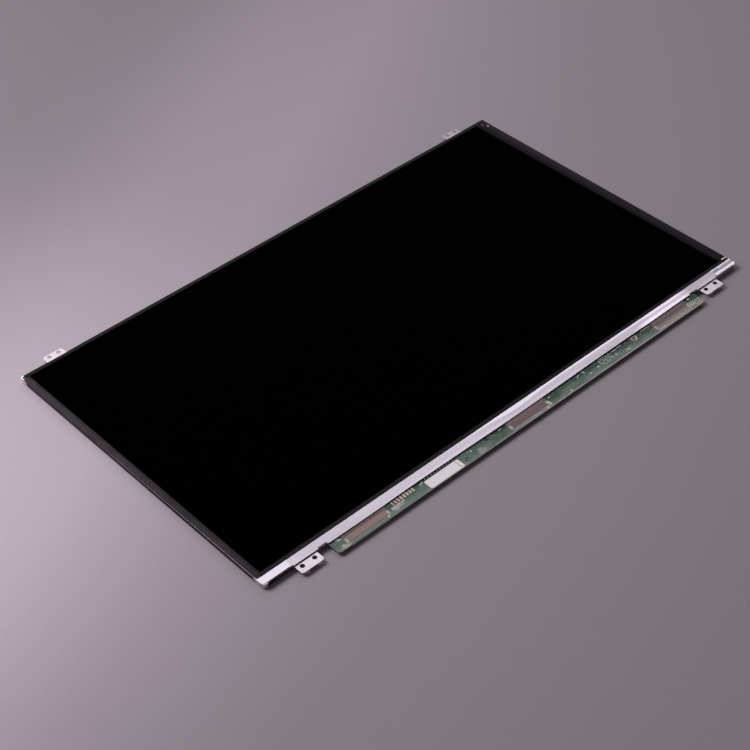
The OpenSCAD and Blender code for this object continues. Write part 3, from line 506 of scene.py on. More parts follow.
class SCREEN_OT_black_tapes(bpy.types.Operator):
    """Make the black tapes with hand-cut edges, folded over the tray's walls"""

    bl_idname = "screen_panel.black_tapes"
    bl_label = "Black Tapes"

    thick = 0.09
    step = 1.2

    def execute(self, context):
        sizes, colours = context.scene.panel_sizes, context.scene.panel_colours
        ragged = sizes.tape_ragged / MM
        side = tape_material("calendered_side_tape", tuple(colours.side_tape), "X", 175.2, 177.8)
        edge = tape_material("calendered_edge_tape", toned(colours.edge_tape, 1.5), "X", 177.8, 179.1, 0.48)
        head = tape_material("calendered_head_tape", toned(colours.edge_tape, 0.75), "Y", 101.4, 104.6)
        # Painted light: the foot tape is the side tape made seven times lighter, for the bottom wall that lies in
        # shade
        foot = tape_material("foot_tape_painted_light", toned(colours.side_tape, 7), "Y", 90, 100)
        self.fold_right_tape(edge, ragged)
        self.lay_left_tape(side, ragged, sizes.bare_rim / MM)
        self.fold_top_tape(head, ragged)
        self.fold_bottom_tapes(foot, ragged)
        return {"FINISHED"}

    def fold_right_tape(self, material, ragged):
        """The right tape, folded over the wall and up to the top corner."""
        low, high = [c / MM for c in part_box("tape_right")]
        right = Sheet()
        sections = []
        for y in spread(low.y, 102.15, self.step):
            start = low.x + abs(wander(y, ragged, 1))
            end = low.z + abs(wander(y, 2 * ragged, 2))
            fold = folded_section(start, high.x, high.z, end, self.thick)
            sections.append([(x, y, z) for x, z in fold])
        right.loft(sections)
        right.piece("tape_right_fold", "black_tape", material, ["tape_right"], smooth=True)
        self.paint_corner_glints(high.z)

    def paint_corner_glints(self, tape_top):
        """Painted glints at the top corners: two bright specks on the right tape and a bright crescent on the bare
        corner at the left.
        """
        # Near-white aluminium that paints the glints: bright, with fine streaks
        glint, tree, shader, place = new_material("bare_aluminium_painted_glint", Metallic=0.5,
                                                  Base_Color=linear("f4f0f4"))
        scratch = add(tree, "TexNoise", {"Vector": place, "Scale": 3, "Detail": 2})
        rough = add(tree, "MapRange", {"Value": scratch, "To Min": 0.3, "To Max": 0.5})
        feed(shader, {"Roughness": rough})
        glint_spots = Sheet()
        for x, y, radius in ((177.4, 96.9, 0.42), (175.5, 100.6, 0.25)):
            glint_spots.disc(x, y, radius, tape_top + 0.001, tape_top + 0.02)
        # At the top left the tapes leave the tray's corner bare
        glint_spots.prism([(-179.74, 101.3), (-179.74, 104.4), (-179.2, 104.8), (-178.9, 103.9), (-179.25, 102.6),
                     (-179.3, 101.3)], TRAY_TOP + 0.01, TRAY_TOP + 0.07)
        glint_spots.prism([(-178.8, 104.85), (-177.5, 104.85), (-177.7, 104.2), (-178.6, 104.0)],
                    TRAY_TOP + 0.01, TRAY_TOP + 0.06)
        glint_spots.piece("tape_corner_glints", "tray_metal", glint)

    def lay_left_tape(self, material, ragged, bare_rim):
        """The left tape, laid a little askew, so that its sheet leaves the wall's rim bare lower down."""
        thick = self.thick
        low, high = [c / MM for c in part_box("tape_left")]
        left = Sheet()
        top_rows, skirt_rows = [], []
        for y in spread(low.y, high.y, self.step):
            down = (high.y - y) / (high.y - low.y)
            start = high.x - abs(wander(y, ragged, 3))
            bare = fade(down, 0.12, 0.45)
            rim = low.x + bare * (thick + bare_rim * down) + abs(wander(y, 0.1 * ragged, 4))
            base = low.z + abs(wander(y, 2 * ragged, 5))
            sheet, crest = high.z - thick, high.z - thick - 0.01 - 0.1 * bare
            top_rows.append([(start, y, sheet), (start, y, high.z), (rim, y, high.z - 0.01), (rim, y, sheet)])
            if y < high.y - 1.2:
                skirt_rows.append([(low.x, y, base), (low.x + thick, y, base), (low.x + thick, y, crest),
                                   (low.x, y, crest)])
        left.loft(top_rows)
        left.loft(skirt_rows)
        left.piece("tape_left_sheet", "black_tape", material, ["tape_left"])

    def fold_top_tape(self, material, ragged):
        """The top tape, torn roughly and cut out at the ears."""
        thick = self.thick
        low, high = [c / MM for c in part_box("tape_top")]
        top = Sheet()
        bounds = [low.x] + [x for ear in TOP_EARS for x in ear] + [TRAY_END]
        for i in range(len(bounds) - 1):
            at_ear = i % 2 == 1
            rows = []
            for x in spread(bounds[i], bounds[i + 1], self.step):
                start = low.y + abs(wander(x, ragged, 6))
                end = high.z - 1 if at_ear else low.z + abs(wander(x, 3 * ragged, 7))
                torn = 0.4 * ragged * abs(noise.noise(Vector((x * 1.7, 3, 0))))
                outer = 104.55 - torn if at_ear else high.y - torn
                if at_ear:
                    loop = [(start, high.z), (outer, high.z), (outer, high.z - thick), (start, high.z - thick)]
                else:
                    loop = folded_section(start, outer, high.z, end, thick)
                rows.append([(x, y, z) for y, z in loop])
            top.loft(rows)
        top.bar(TRAY_END + 0.01, PANEL_END, low.y, high.y - 0.02, low.z, high.z - 0.02)
        top.piece("tape_top_fold", "black_tape", material, ["tape_top"], smooth=True)

    def fold_bottom_tapes(self, material, ragged):
        """Short tapes between the ears and the corners: the left one paler than black tape, as painted light on the
        shaded bottom wall, and the right one with its coat worn thin and pale.
        """
        low, high = [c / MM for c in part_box("tape_bottom")]
        bottom, lined = Sheet(), Sheet()
        for side_sign, cover in ((-1, bottom), (1, lined)):
            rows = []
            for x in spread(160.6, high.x, self.step):
                start = high.y - abs(wander(x, ragged, 8 + side_sign))
                end = low.z + abs(wander(x, 2 * ragged, 10 + side_sign))
                fold = folded_section(-start, -low.y, high.z, end, self.thick)
                rows.append([(side_sign * x, -y, z) for y, z in fold])
            cover.loft(rows)
        # The right one has lost its black coat: dull vapour-coated aluminium on polyester
        coat, *_ = mottled_material("worn_vapour_coat", linear("8d868d"), linear("b4abb4"), 1, 3, (0.6, 2, 2),
                                    Metallic=0.85, Roughness=0.5)
        lined.piece("tape_bottom_right", "black_tape", coat, ["tape_bottom"], smooth=True)
        # Short covers over the wall in the notches beside the board
        for start, end in ((-145.9, -138.7), (141.3, 145.9)):
            bottom.loft([[(x, -y, z) for y, z in folded_section(103.6, 104.84, 3.42, 0.7, self.thick)]
                         for x in spread(start, end, self.step)])
        bottom.piece("tape_bottom_fold", "black_tape", material, ["tape_bottom"], smooth=True)


# Cover strip


# Spans where the strip reaches out over the ears and the board, and Y of its outer edge between and in them
STRIP_SPANS = ((-161.9, -144.5), (-139.1, 138.0), (144.5, 161.9))
STRIP_BACK, STRIP_OUT = -103.95, -104.9
# Height of the flat foil, and the most that a crease may reach under the screen's face
FOIL_TOP, FOIL_LIMIT = 3.44, 3.58
# Radii of the strip's outer corners: at its steps, and at its two ends
STEP_RADIUS, END_RADIUS = 0.5, 2


def strip_inner(x):
    """Y of the strip's inner edge, which comes a little nearer the glass towards the right."""
    return -99.42 + 0.28 * fade(x, 0, 60) + wander(x, 0.1, 20)


def strip_edge(x):
    """Y of the strip's outer edge: further out over the ears and the board, rounded at its ends."""
    edge = STRIP_BACK
    for start, end in STRIP_SPANS:
        inside = min(x - start, end - x)
        if inside > 0:
            dip = STEP_RADIUS - min(inside, STEP_RADIUS)
            edge = STRIP_OUT + STEP_RADIUS - math.sqrt(STEP_RADIUS ** 2 - dip * dip)
            if start < 0 < end:
                # Laid by hand: it wanders out at the left and in the middle and back in to the right
                out = 0.62 - 0.35 * fade(x, -115, -75) + 0.5 * bump_at(x, -6, 36)
                edge -= min(1, inside) * (out - 0.22 * fade(x, 30, 62) - 0.3 * fade(x, 105, 130))
    edge -= 0.4 * fade(x, 162.5, 164)
    past = abs(x) - (PANEL_END - END_RADIUS)
    return edge + END_RADIUS - math.sqrt(max(0, END_RADIUS ** 2 - past * past)) if past > 0 else edge


class SCREEN_OT_cover_strip(bpy.types.Operator):
    """Make the aluminised cover strip with its creases and folded ends"""

    bl_idname = "screen_panel.cover_strip"
    bl_label = "Cover Strip"

    def height(self, x, y, sizes):
        """Top of the foil: nearly flat, drooping over the board, creased at the right end."""
        crease, droop = sizes.crease / MM, sizes.droop / MM
        z = FOIL_TOP + 0.012 * noise.noise(Vector((x * 0.25, y * 0.9, 0.5)))
        z += 0.01 * noise.noise(Vector((x * 0.05, y * 0.5, 4.5)))
        over_board = fade(x, -146, -120) * (1 - fade(x, 60, 90))
        z -= droop * over_board * fade(-y, 101.6, 105.2) ** 1.5
        # Two low ridges with a groove between them, from the middle of the strip to the right
        z -= 0.05 * fade(x, 70, 110) * (1 - fade(x, 140, 150)) * bump_at(y, -101.8, 0.5)
        ends = fade(x, 162.6, 164.5)
        z += crease * ends * (0.4 * bump_at(y, -98.9, 0.6) + 0.5 * bump_at(y, -103.4, 0.5))
        z -= 0.9 * crease * ends * (1 - fade(x, 176, 178)) * bump_at(y, -101.0, 1.1)
        slanted = (x - 169) + 1.6 * (y + 101)
        z += 0.6 * crease * ends * bump_at(slanted, 0, 0.7)
        return min(z, FOIL_LIMIT)

    def sheen(self, x, y):
        """How bright the coat is: a painted sheen, with highlights on the folds and creases and darker stretches
        between.
        """
        if x < -161.5 or y > -98.4:
            return 1.22 if x < 0 else 1.35
        to_ear = 1 - fade(x, 131, 141)
        level = 0.96 - 0.06 * fade(x, -161, -150) * (1 - fade(x, -125, -112)) - 0.03 * fade(x, -30, 20)
        level += 0.12 * fade(x, 94, 112) * to_ear - 0.09 * bump_at(x, 0, 14)
        # Painted highlight along the inner edge: a band that is widest at the middle of the strip
        start = -100.9 - 1.9 * bump_at(x, 0, 16) - 0.6 * fade(x, 95, 112)
        level += (0.08 * fade(x, -80, -50) + 0.4 * fade(x, -50, -8)) * to_ear * fade(y, start, start + 1.1)
        # Painted highlight along the outer edge: faint to the left, a broad bright band at the last film
        level += 0.22 * fade(x, -110, -60) * (1 - fade(x, 40, 60)) * bump_at(y, -104.3, 0.7)
        level += 0.8 * fade(x, 88, 106) * to_ear * (1 - fade(y, -103.2, -102.3))
        over_ear = fade(x, 146, 150) * (1 - fade(x, 160, 163))
        level += 0.16 * over_ear * (1 - fade(y, -103.8, -102)) - 0.1 * fade(x, 138, 142)
        # Painted highlights on two creases at the right end, with painted shade in the trough between them
        end = fade(x, 162.6, 164.2)
        trough = -101.0 - 0.8 * fade(x, 166, 172)
        level += end * (1.75 * bump_at(y, -103.4, 0.75) + 0.85 * bump_at(y, -99.2, 0.7))
        level += 0.8 * bump_at(x, 163.8, 1.4) * bump_at(y, -99.3, 0.6)
        level += 0.7 * bump_at(x - 0.8 * (y + 100), 170, 1.0) * bump_at(y, -99.9, 0.9)
        level -= 0.6 * bump_at(x, 168.8, 0.7) * bump_at(y, -103.4, 0.8)
        return level - (0.38 - 0.1 * fade(x, 174, 178)) * end * bump_at(y, trough, 1.2)

    def execute(self, context):
        sizes, colours = context.scene.panel_sizes, context.scene.panel_colours
        # Polyester film with an aluminium coat, laid by hand: silvery, softly mirrored, creased
        made, tree, shader, place = new_material("aluminised_film", Metallic=0.8)
        stretched = add(tree, "Mapping", {"Vector": place, "Scale": (0.3, 0.9, 1)})
        wrinkles = add(tree, "TexNoise", {"Vector": stretched, "Scale": 1, "Detail": 4})
        fine = add(tree, "MapRange", {"Value": wrinkles, "To Min": 0.52, "To Max": 0.716})
        # Painted sheen of the foil, kept on the mesh, scales its tone
        painted_sheen = add(tree, "Attribute", attribute_name="sheen")
        level = add(tree, "Math", {0: fine, 1: painted_sheen.outputs["Fac"]}, operation="MULTIPLY")
        # The coat's own colour is reached at level 1
        tone = add(tree, "ValToRGB", {"Fac": level},
                   stops=[(0, grey(0)), (1, tuple(colours.foil))])
        rough = add(tree, "MapRange", {"Value": wrinkles, "To Min": 0.36, "To Max": 0.5})
        bump = add(tree, "Bump", {"Height": wrinkles, "Strength": 0.15, "Distance": 0.1 * MM})
        feed(shader, {"Base Color": tone, "Roughness": rough, "Normal": bump})

        places = set(spread(-PANEL_END, PANEL_END, 0.9))
        for start, end in STRIP_SPANS:
            for edge, out in ((start, 1), (end, -1)):
                places.update(edge + out * d for d in (-0.02, 0.02, 0.08, 0.18, 0.32, 0.5))
        for sign in (-1, 1):
            places.update(sign * (PANEL_END - d) for d in (0.02, 0.08, 0.2, 0.4, 0.7, 1.0, 1.4, 1.8, 2.2))
        thick, rows = 0.035, 22
        strip = Sheet()
        sections = []
        for x in sorted(places):
            outer = strip_edge(x)
            inner = strip_inner(x)
            ys = [outer + (inner - outer) * i / rows for i in range(rows + 1)]
            tops = [(x, y, self.height(x, y, sizes)) for y in ys]
            sections.append(tops + [(x, y, z - thick) for x, y, z in tops[::-1]])
        strip.loft(sections)
        # Ends folded down over the side walls
        for sign in (-1, 1):
            fold = []
            for y in spread(-102.0, -96.9, 0.5):
                foot = 1.2 + abs(wander(y, 0.3, 22 + sign))
                inside, outside, top = sign * (PANEL_END - 0.08), sign * PANEL_END, FOIL_TOP + 0.02
                fold.append([(inside, y, foot), (inside, y, top), (outside, y, top), (outside, y, foot)])
            strip.loft(fold)
        # Tongue of foil that comes back over the right tape
        tongue = []
        for x in spread(175.9, PANEL_END, 0.5):
            tongue.append([(x, -97.1, 3.51), (x, -97.1, 3.53), (x, -96.4, 3.585), (x, -96.4, 3.565)])
        strip.loft(tongue)
        foil = strip.piece("cover_strip_foil", "silver_foil", made, ["cover_strip"], smooth=True)
        sheen_values = foil.data.attributes.new("sheen", "FLOAT", "POINT")
        for vertex, entry in zip(foil.data.vertices, sheen_values.data):
            entry.value = self.sheen(vertex.co.x / MM, vertex.co.y / MM)
        return {"FINISHED"}


# Driver board


def mask_material(name, colour, pour):
    """Glass-fibre board under green lacquer: satin, mottled where copper lies beneath."""
    made, tree, shader, place = new_material(name, IOR=1.55, Roughness=0.38, Specular_IOR_Level=0.25)
    parts = add(tree, "SeparateXYZ", {"Vector": place})
    # Copper pours: patches of 5 to 15 mm
    wide = add(tree, "Mapping", {"Vector": place, "Scale": (0.09, 0.2, 1)})
    patches = add(tree, "TexNoise", {"Vector": wide, "Scale": 1, "Detail": 2})
    # Painted shade: the inner half, under the strip's edge, is darker; more so to the right
    depth = add(tree, "MapRange", {"Value": parts.outputs["X"], "From Min": -60, "From Max": 70,
                                   "To Min": 0.2, "To Max": 0.36})
    inner = add(tree, "MapRange", {"Value": parts.outputs["Y"], "From Min": -112.4, "From Max": -107.4,
                                   "To Min": -0.05, "To Max": depth})
    added = add(tree, "Math", {0: patches, 1: inner}, operation="ADD")
    middle = tuple(0.5 * a + 0.5 * b for a, b in zip(colour, pour))
    tone = add(tree, "ValToRGB", {"Fac": added},
               stops=[(0.36, colour), (0.6, middle), (0.82, pour)])
    # The routed edge shows bare glass fibre, pale and fuzzy
    routed = add(tree, "MapRange", {"Value": parts.outputs["Y"], "From Min": -113.62, "From Max": -113.68})
    edged = add(tree, "Mix", {"Factor": routed, MIX_A: tone, MIX_B: linear("c9cabb")}, data_type="RGBA")
    # Weave of the glass fibre, 0.5 mm between threads, shows through the lacquer
    weave = add(tree, "TexNoise", {"Vector": place, "Scale": 2, "Detail": 1})
    bump = add(tree, "Bump", {"Height": weave, "Strength": 0.2, "Distance": 0.02 * MM})
    feed(shader, {"Base Color": edged.outputs[MIX_RESULT], "Normal": bump})
    return made


class SCREEN_OT_driver_board(bpy.types.Operator):
    """Finish the driver board and lay its tracks, vias and printed marks"""

    bl_idname = "screen_panel.driver_board"
    bl_label = "Driver Board"

    def lay_tracks(self, copper, vias, start, end, count, width, draw):
        """Tracks along one free stretch of the board, each with a jog and a via at both ends."""
        low, high = BOARD_TOP + 0.004, BOARD_TOP + 0.022
        for i in range(count):
            y = -106.4 - i * 6.2 / max(1, count - 1)
            a = start + draw.uniform(0.6, 0.25 * (end - start))
            d = end - draw.uniform(0.6, 0.25 * (end - start))
            jog = draw.choice((-0.45, 0.45))
            b = draw.uniform(a + 1, d - 1)
            path = [(a, y), (b, y), (b + abs(jog), y + jog), (d, y + jog)]
            if d - a > 4:
                copper.ribbon(path, width, low, high)
                for x, level in ((a, y), (d, y + jog)):
                    vias.ring(x, level, 0.26, 0.1, low, high + 0.006, 12)

    def execute(self, context):
        sizes, colours = context.scene.panel_sizes, context.scene.panel_colours
        mask, pour = tuple(colours.solder_mask), tuple(colours.copper_pour)
        finish_node("driver_board", mask_material("lacquered_glass_fibre_board", mask, pour))
        self.etch_tracks(mask, pour, sizes.tracks, sizes.track_width / MM)
        self.pour_copper(pour)
        self.print_resist()
        self.print_marks()
        self.rout_edge()
        self.plate_gold()
        return {"FINISHED"}

    def etch_tracks(self, mask, pour, count, width):
        """Tracks along the free stretches of the board, and their vias."""
        draw = random.Random(15)
        # Copper under lacquer: a shade lighter and prouder than the board round it
        track = mask_material("lacquered_copper_track", toned(mask, 1.25), toned(pour, 1.2))
        copper, vias = Sheet(), Sheet()
        for start, end in ((-101.0, -76.0), (-50.2, -15.2), (15.8, 57.5), (68, 84), (91.0, 101.4)):
            self.lay_tracks(copper, vias, start, end, count, width, draw)
        copper.piece("board_tracks", "board_mask", track)

        # Solder on the vias: pale metal, slightly domed in life
        tin, tree, shader, place = new_material("reflowed_solder", Base_Color=linear("7f877f"), Metallic=0.6)
        speck = add(tree, "TexNoise", {"Vector": place, "Scale": 4, "Detail": 2})
        rough = add(tree, "MapRange", {"Value": speck, "To Min": 0.25, "To Max": 0.45})
        feed(shader, {"Roughness": rough})
        vias.piece("board_vias", "gold_plate", tin)

    def pour_copper(self, pour):
        """Pours: dark green patches along the inner edge, with a painted shadow of the strip over the one left of the
        middle film.
        """
        dark = Sheet()
        # Each layer of copper, resist or print lies about 0.01 mm over the last
        low, high = BOARD_TOP + 0.002, BOARD_TOP + 0.012
        dark.prism([(-26.6, -104.9), (-25.2, -106.9), (-21.4, -108.6), (-16.4, -108.9), (-14.6, -107.6),
                    (-14.4, -104.9)], low, high)
        dark.prism([(14.8, -104.9), (15.2, -107.6), (18.6, -109.6), (22.6, -111.2), (24.8, -110.4), (25.6, -107.4),
                    (24.4, -105.6), (19.5, -104.9)], low, high)
        dark.prism([(36.8, -104.9), (36.9, -108.3), (57.4, -108.6), (57.9, -104.9)], low, high)
        dark.prism([(67.6, -104.9), (67.9, -108.6), (84.6, -109.0), (84.6, -104.9)], low, high)
        dark.prism([(89.6, -104.9), (89.4, -108.8), (100.5, -108.4), (102.0, -106.9), (102.0, -104.9)], low, high)
        dark.prism([(131.8, -104.6), (132.2, -107.4), (139.4, -107.8), (139.8, -104.6)], low, high)
        dark.prism([(-81.2, -104.9), (-81.0, -106.9), (-78.0, -107.4), (-76.0, -104.9)], low, high)
        dark.piece("board_pours", "board_mask", mask_material("lacquered_copper_pour", pour, toned(pour, 0.55)))
        # Painted shadow of the strip over the pour left of the middle film: darkest green of all
        strip_shadow_patch = Sheet()
        strip_shadow_patch.prism([(-26.2, -104.9), (-24.6, -106.6), (-21.0, -107.2), (-16.8, -107.6), (-14.6, -106.9),
                    (-14.5, -104.9)], low + 0.012, high + 0.01)
        strip_shadow_patch.piece("board_pour_painted_shadow", "board_mask", mask_material("pour_painted_strip_shadow", toned(pour, 0.3),
                                                                   toned(pour, 0.2)))

    def print_resist(self):
        """Black resist over test points: matt slanted bars, a ring and the ground behind the gold pads."""
        # Solder resist, screened on and cured: dull black, worn grey
        resist, *_ = mottled_material("black_solder_resist", linear("1c2024"), linear("3a4247"), 1.2,
                                      Roughness=0.5, IOR=1.5, Specular_IOR_Level=0.2)
        black = Sheet()
        low, high = BOARD_TOP + 0.013, BOARD_TOP + 0.022
        black.prism([(-31.4, -104.9), (-30.6, -106.9), (-29.4, -108.3), (-28.2, -108.2), (-28.6, -106.5),
                     (-29.4, -104.9)], low, high)
        black.prism([(101.9, -105.2), (101.6, -107.2), (103.4, -107.4), (104.4, -105.2)], low, high)
        black.ring(-46.7, -110.8, 1.35, 0.8, low, high)
        black.bar(-98.0, -95.9, -108.6, -105.0, low, high)
        for i in range(7):
            black.bar(-95.7 + 2.05 * i, -94.85 + 2.05 * i, -108.9 + 0.12 * (i % 3), -105.0, low, high)
        black.bar(-74.6, -51.2, -106.9, -104.9, low, high)
        black.piece("board_resist", "board_mask", resist)

    def print_marks(self):
        """Marks in plain dots, bars and frames."""
        # Epoxy screen ink: chalky and dull
        ink, *_ = mottled_material("screen_printed_ink", linear("8f988f"), linear("dfe0da"), 1.5,
                                   share=(0.3, 0.65), Roughness=0.6, IOR=1.5)
        marks = Sheet()
        low, high = BOARD_TOP + 0.023, BOARD_TOP + 0.04
        # Dot grids
        for row, count in enumerate((3, 5, 5)):
            for column in range(count):
                marks.disc(-38.8 + 1.05 * column + 0.8 * (row == 0), -109.8 - 1.35 * row, 0.34, low, high, 10)
        for column in range(7):
            for row in range(6):
                if (column + 2 * row) % 5:
                    marks.bar(58.2 + 1.4 * column, 59.0 + 1.4 * column, -105.9 - 0.98 * row,
                              -105.5 - 0.98 * row, low, high)
        # Comb of short bars under the gold pads
        for i in range(9):
            marks.prism([(-99.9 + 1.05 * i, -110.8 + 0.1 * i), (-99.3 + 1.05 * i, -110.8 + 0.1 * i),
                         (-98.9 + 1.05 * i, -109.0 + 0.12 * (i % 3)), (-99.5 + 1.05 * i, -109.0 + 0.12 * (i % 3))],
                        low, high)
        marks.bar(-99.9, -92.0, -110.9, -110.6, low, high)
        for i in range(3):
            marks.bar(-98.4 + 1.0 * i, -97.8 + 1.0 * i, -112.0, -111.4, low, high)
        # Bars at the ends of the board and beside the films
        for x0, x1, y0, y1 in (
                (-134.6, -132.4, -106.4, -106.0), (-134.0, -132.0, -107.3, -106.8), (-135.7, -134.6, -112.8, -112.3),
                (-104.3, -103.3, -112.8, -111.5), (15.0, 15.7, -112.6, -109.2), (11.4, 12.4, -113.3, -111.6),
                (40.0, 41.0, -107.7, -107.2), (41.0, 42.4, -107.0, -106.5), (45.6, 46.2, -107.8, -105.9),
                (44.6, 45.4, -106.4, -106.0), (55.0, 55.9, -109.9, -108.6), (47.9, 49.2, -110.5, -109.8),
                (30.1, 31.6, -112.7, -111.7), (69.8, 73.2, -106.3, -105.9), (73.8, 77.6, -106.0, -105.6),
                (76.6, 79.8, -111.3, -110.7), (94.4, 95.8, -106.0, -105.4), (96.4, 97.6, -106.1, -105.5),
                (98.2, 99.6, -106.1, -105.5), (100.1, 101.2, -106.1, -105.5), (69.0, 71.0, -109.7, -109.2),
                (-20.3, -18.2, -107.0, -106.6), (17.2, 18.6, -107.8, -107.3), (134.2, 135.8, -106.4, -105.4),
                (-77.8, -77.0, -107.6, -106.6), (-76.4, -75.4, -107.2, -106.3), (105.8, 106.6, -112.6, -111.5),
                (107.2, 108.2, -112.6, -111.9)):
            marks.bar(x0, x1, y0, y1, low, high)
        # Slanted hatch right of the last film
        for i in range(5):
            x = 129.3 + 1.25 * i
            marks.prism([(x, -111.7), (x + 0.75, -111.7), (x + 3.1, -107.9 - 0.2 * i), (x + 2.4, -107.9 - 0.2 * i)],
                        low, high)
        # Frames at the right end and at the left end
        for x0, x1, y0, y1 in ((135.9, 140.4, -112.6, -109.0), (-131.9, -130.0, -113.1, -111.6),
                               (-134.2, -132.4, -113.0, -111.5), (-134.4, -133.0, -111.9, -111.0)):
            marks.ribbon([(x0, y0), (x1, y0), (x1, y1), (x0, y1), (x0, y0 + 0.2)], 0.42, low, high)
        for x, y, r in ((137.2, -111.4, 0.5), (138.9, -111.2, 0.55), (137.6, -109.9, 0.4), (139.4, -109.8, 0.35),
                        (-41.5, -107.7, 0.6), (-43.4, -107.2, 0.3), (-103.4, -105.9, 0.35), (134.9, -109.2, 0.4)):
            marks.disc(x, y, r, low, high)
        # Line across the ring pad
        marks.ribbon([(87.0, -109.2), (89.8, -106.4)], 0.55, BOARD_TOP + 0.045, BOARD_TOP + 0.065)
        marks.piece("board_marks", "label_paper", ink)

    def rout_edge(self):
        """The board's outer edge and the bare strips between the films' ends and it."""
        # Bare glass fibre, routed: paler than the lacquer, and paler still to the right
        bare, tree, shader, place = new_material("routed_glass_fibre", Roughness=0.6, IOR=1.55)
        lengthwise = add(tree, "Mapping", {"Vector": place, "Scale": (0.4, 3, 3)})
        fibres = add(tree, "TexNoise", {"Vector": lengthwise, "Scale": 1, "Detail": 3})
        along = add(tree, "SeparateXYZ", {"Vector": place}).outputs["X"]
        paler = add(tree, "MapRange", {"Value": along, "From Min": -60, "From Max": 50,
                                       "To Min": -0.25, "To Max": 0.2})
        level = add(tree, "Math", {0: fibres, 1: paler}, operation="ADD")
        tone = add(tree, "ValToRGB", {"Fac": level},
                   stops=[(0.2, linear("5c645f")), (0.8, linear("a09f9c"))])
        feed(shader, {"Base Color": tone})
        rim = Sheet()
        rim.ribbon([(-136.8, -113.3), (139.4, -113.3)], 0.7, BOARD_TOP + 0.001, BOARD_TOP + 0.01)
        for x0, x1 in ((-14.2, 14.8), (102.6, 131.0)):
            rim.ribbon([(x0, -112.1), (x1, -112.1)], 1.5, BOARD_TOP + 0.001, BOARD_TOP + 0.008)
        rim.piece("board_rim", "board_mask", bare)

    def plate_gold(self):
        """The plating of the pads, of the ring and of the connector's contacts."""
        # Electroless gold over nickel: soft yellow, tarnished between the pads
        gold, tree, shader, place = new_material("plated_gold", Metallic=0.9, Roughness=0.35)
        tarnish = add(tree, "TexNoise", {"Vector": place, "Scale": 1.2, "Detail": 3})
        tone = add(tree, "ValToRGB", {"Fac": tarnish},
                   stops=[(0.3, linear("857b6e")), (0.7, linear("c2b5a3"))])
        # The pads at the left end and the ring are duller and greyer than the rest
        spot = add(tree, "SeparateXYZ", {"Vector": place}).outputs["X"]
        along = add(tree, "MapRange", {"Value": spot, "From Min": -100, "From Max": 90})
        aged = add(tree, "ValToRGB", {"Fac": along},
                   stops=[(0.02, grey(0.75)), (0.06, (1.1, 1.12, 1.16)), (0.5, grey(1)), (0.95, (0.5, 0.46, 0.5))])
        worn = add(tree, "VectorMath", {0: tone, 1: aged}, operation="MULTIPLY")
        feed(shader, {"Base Color": worn})
        for node in ("test_pads", "connector_contacts"):
            finish_node(node, gold)


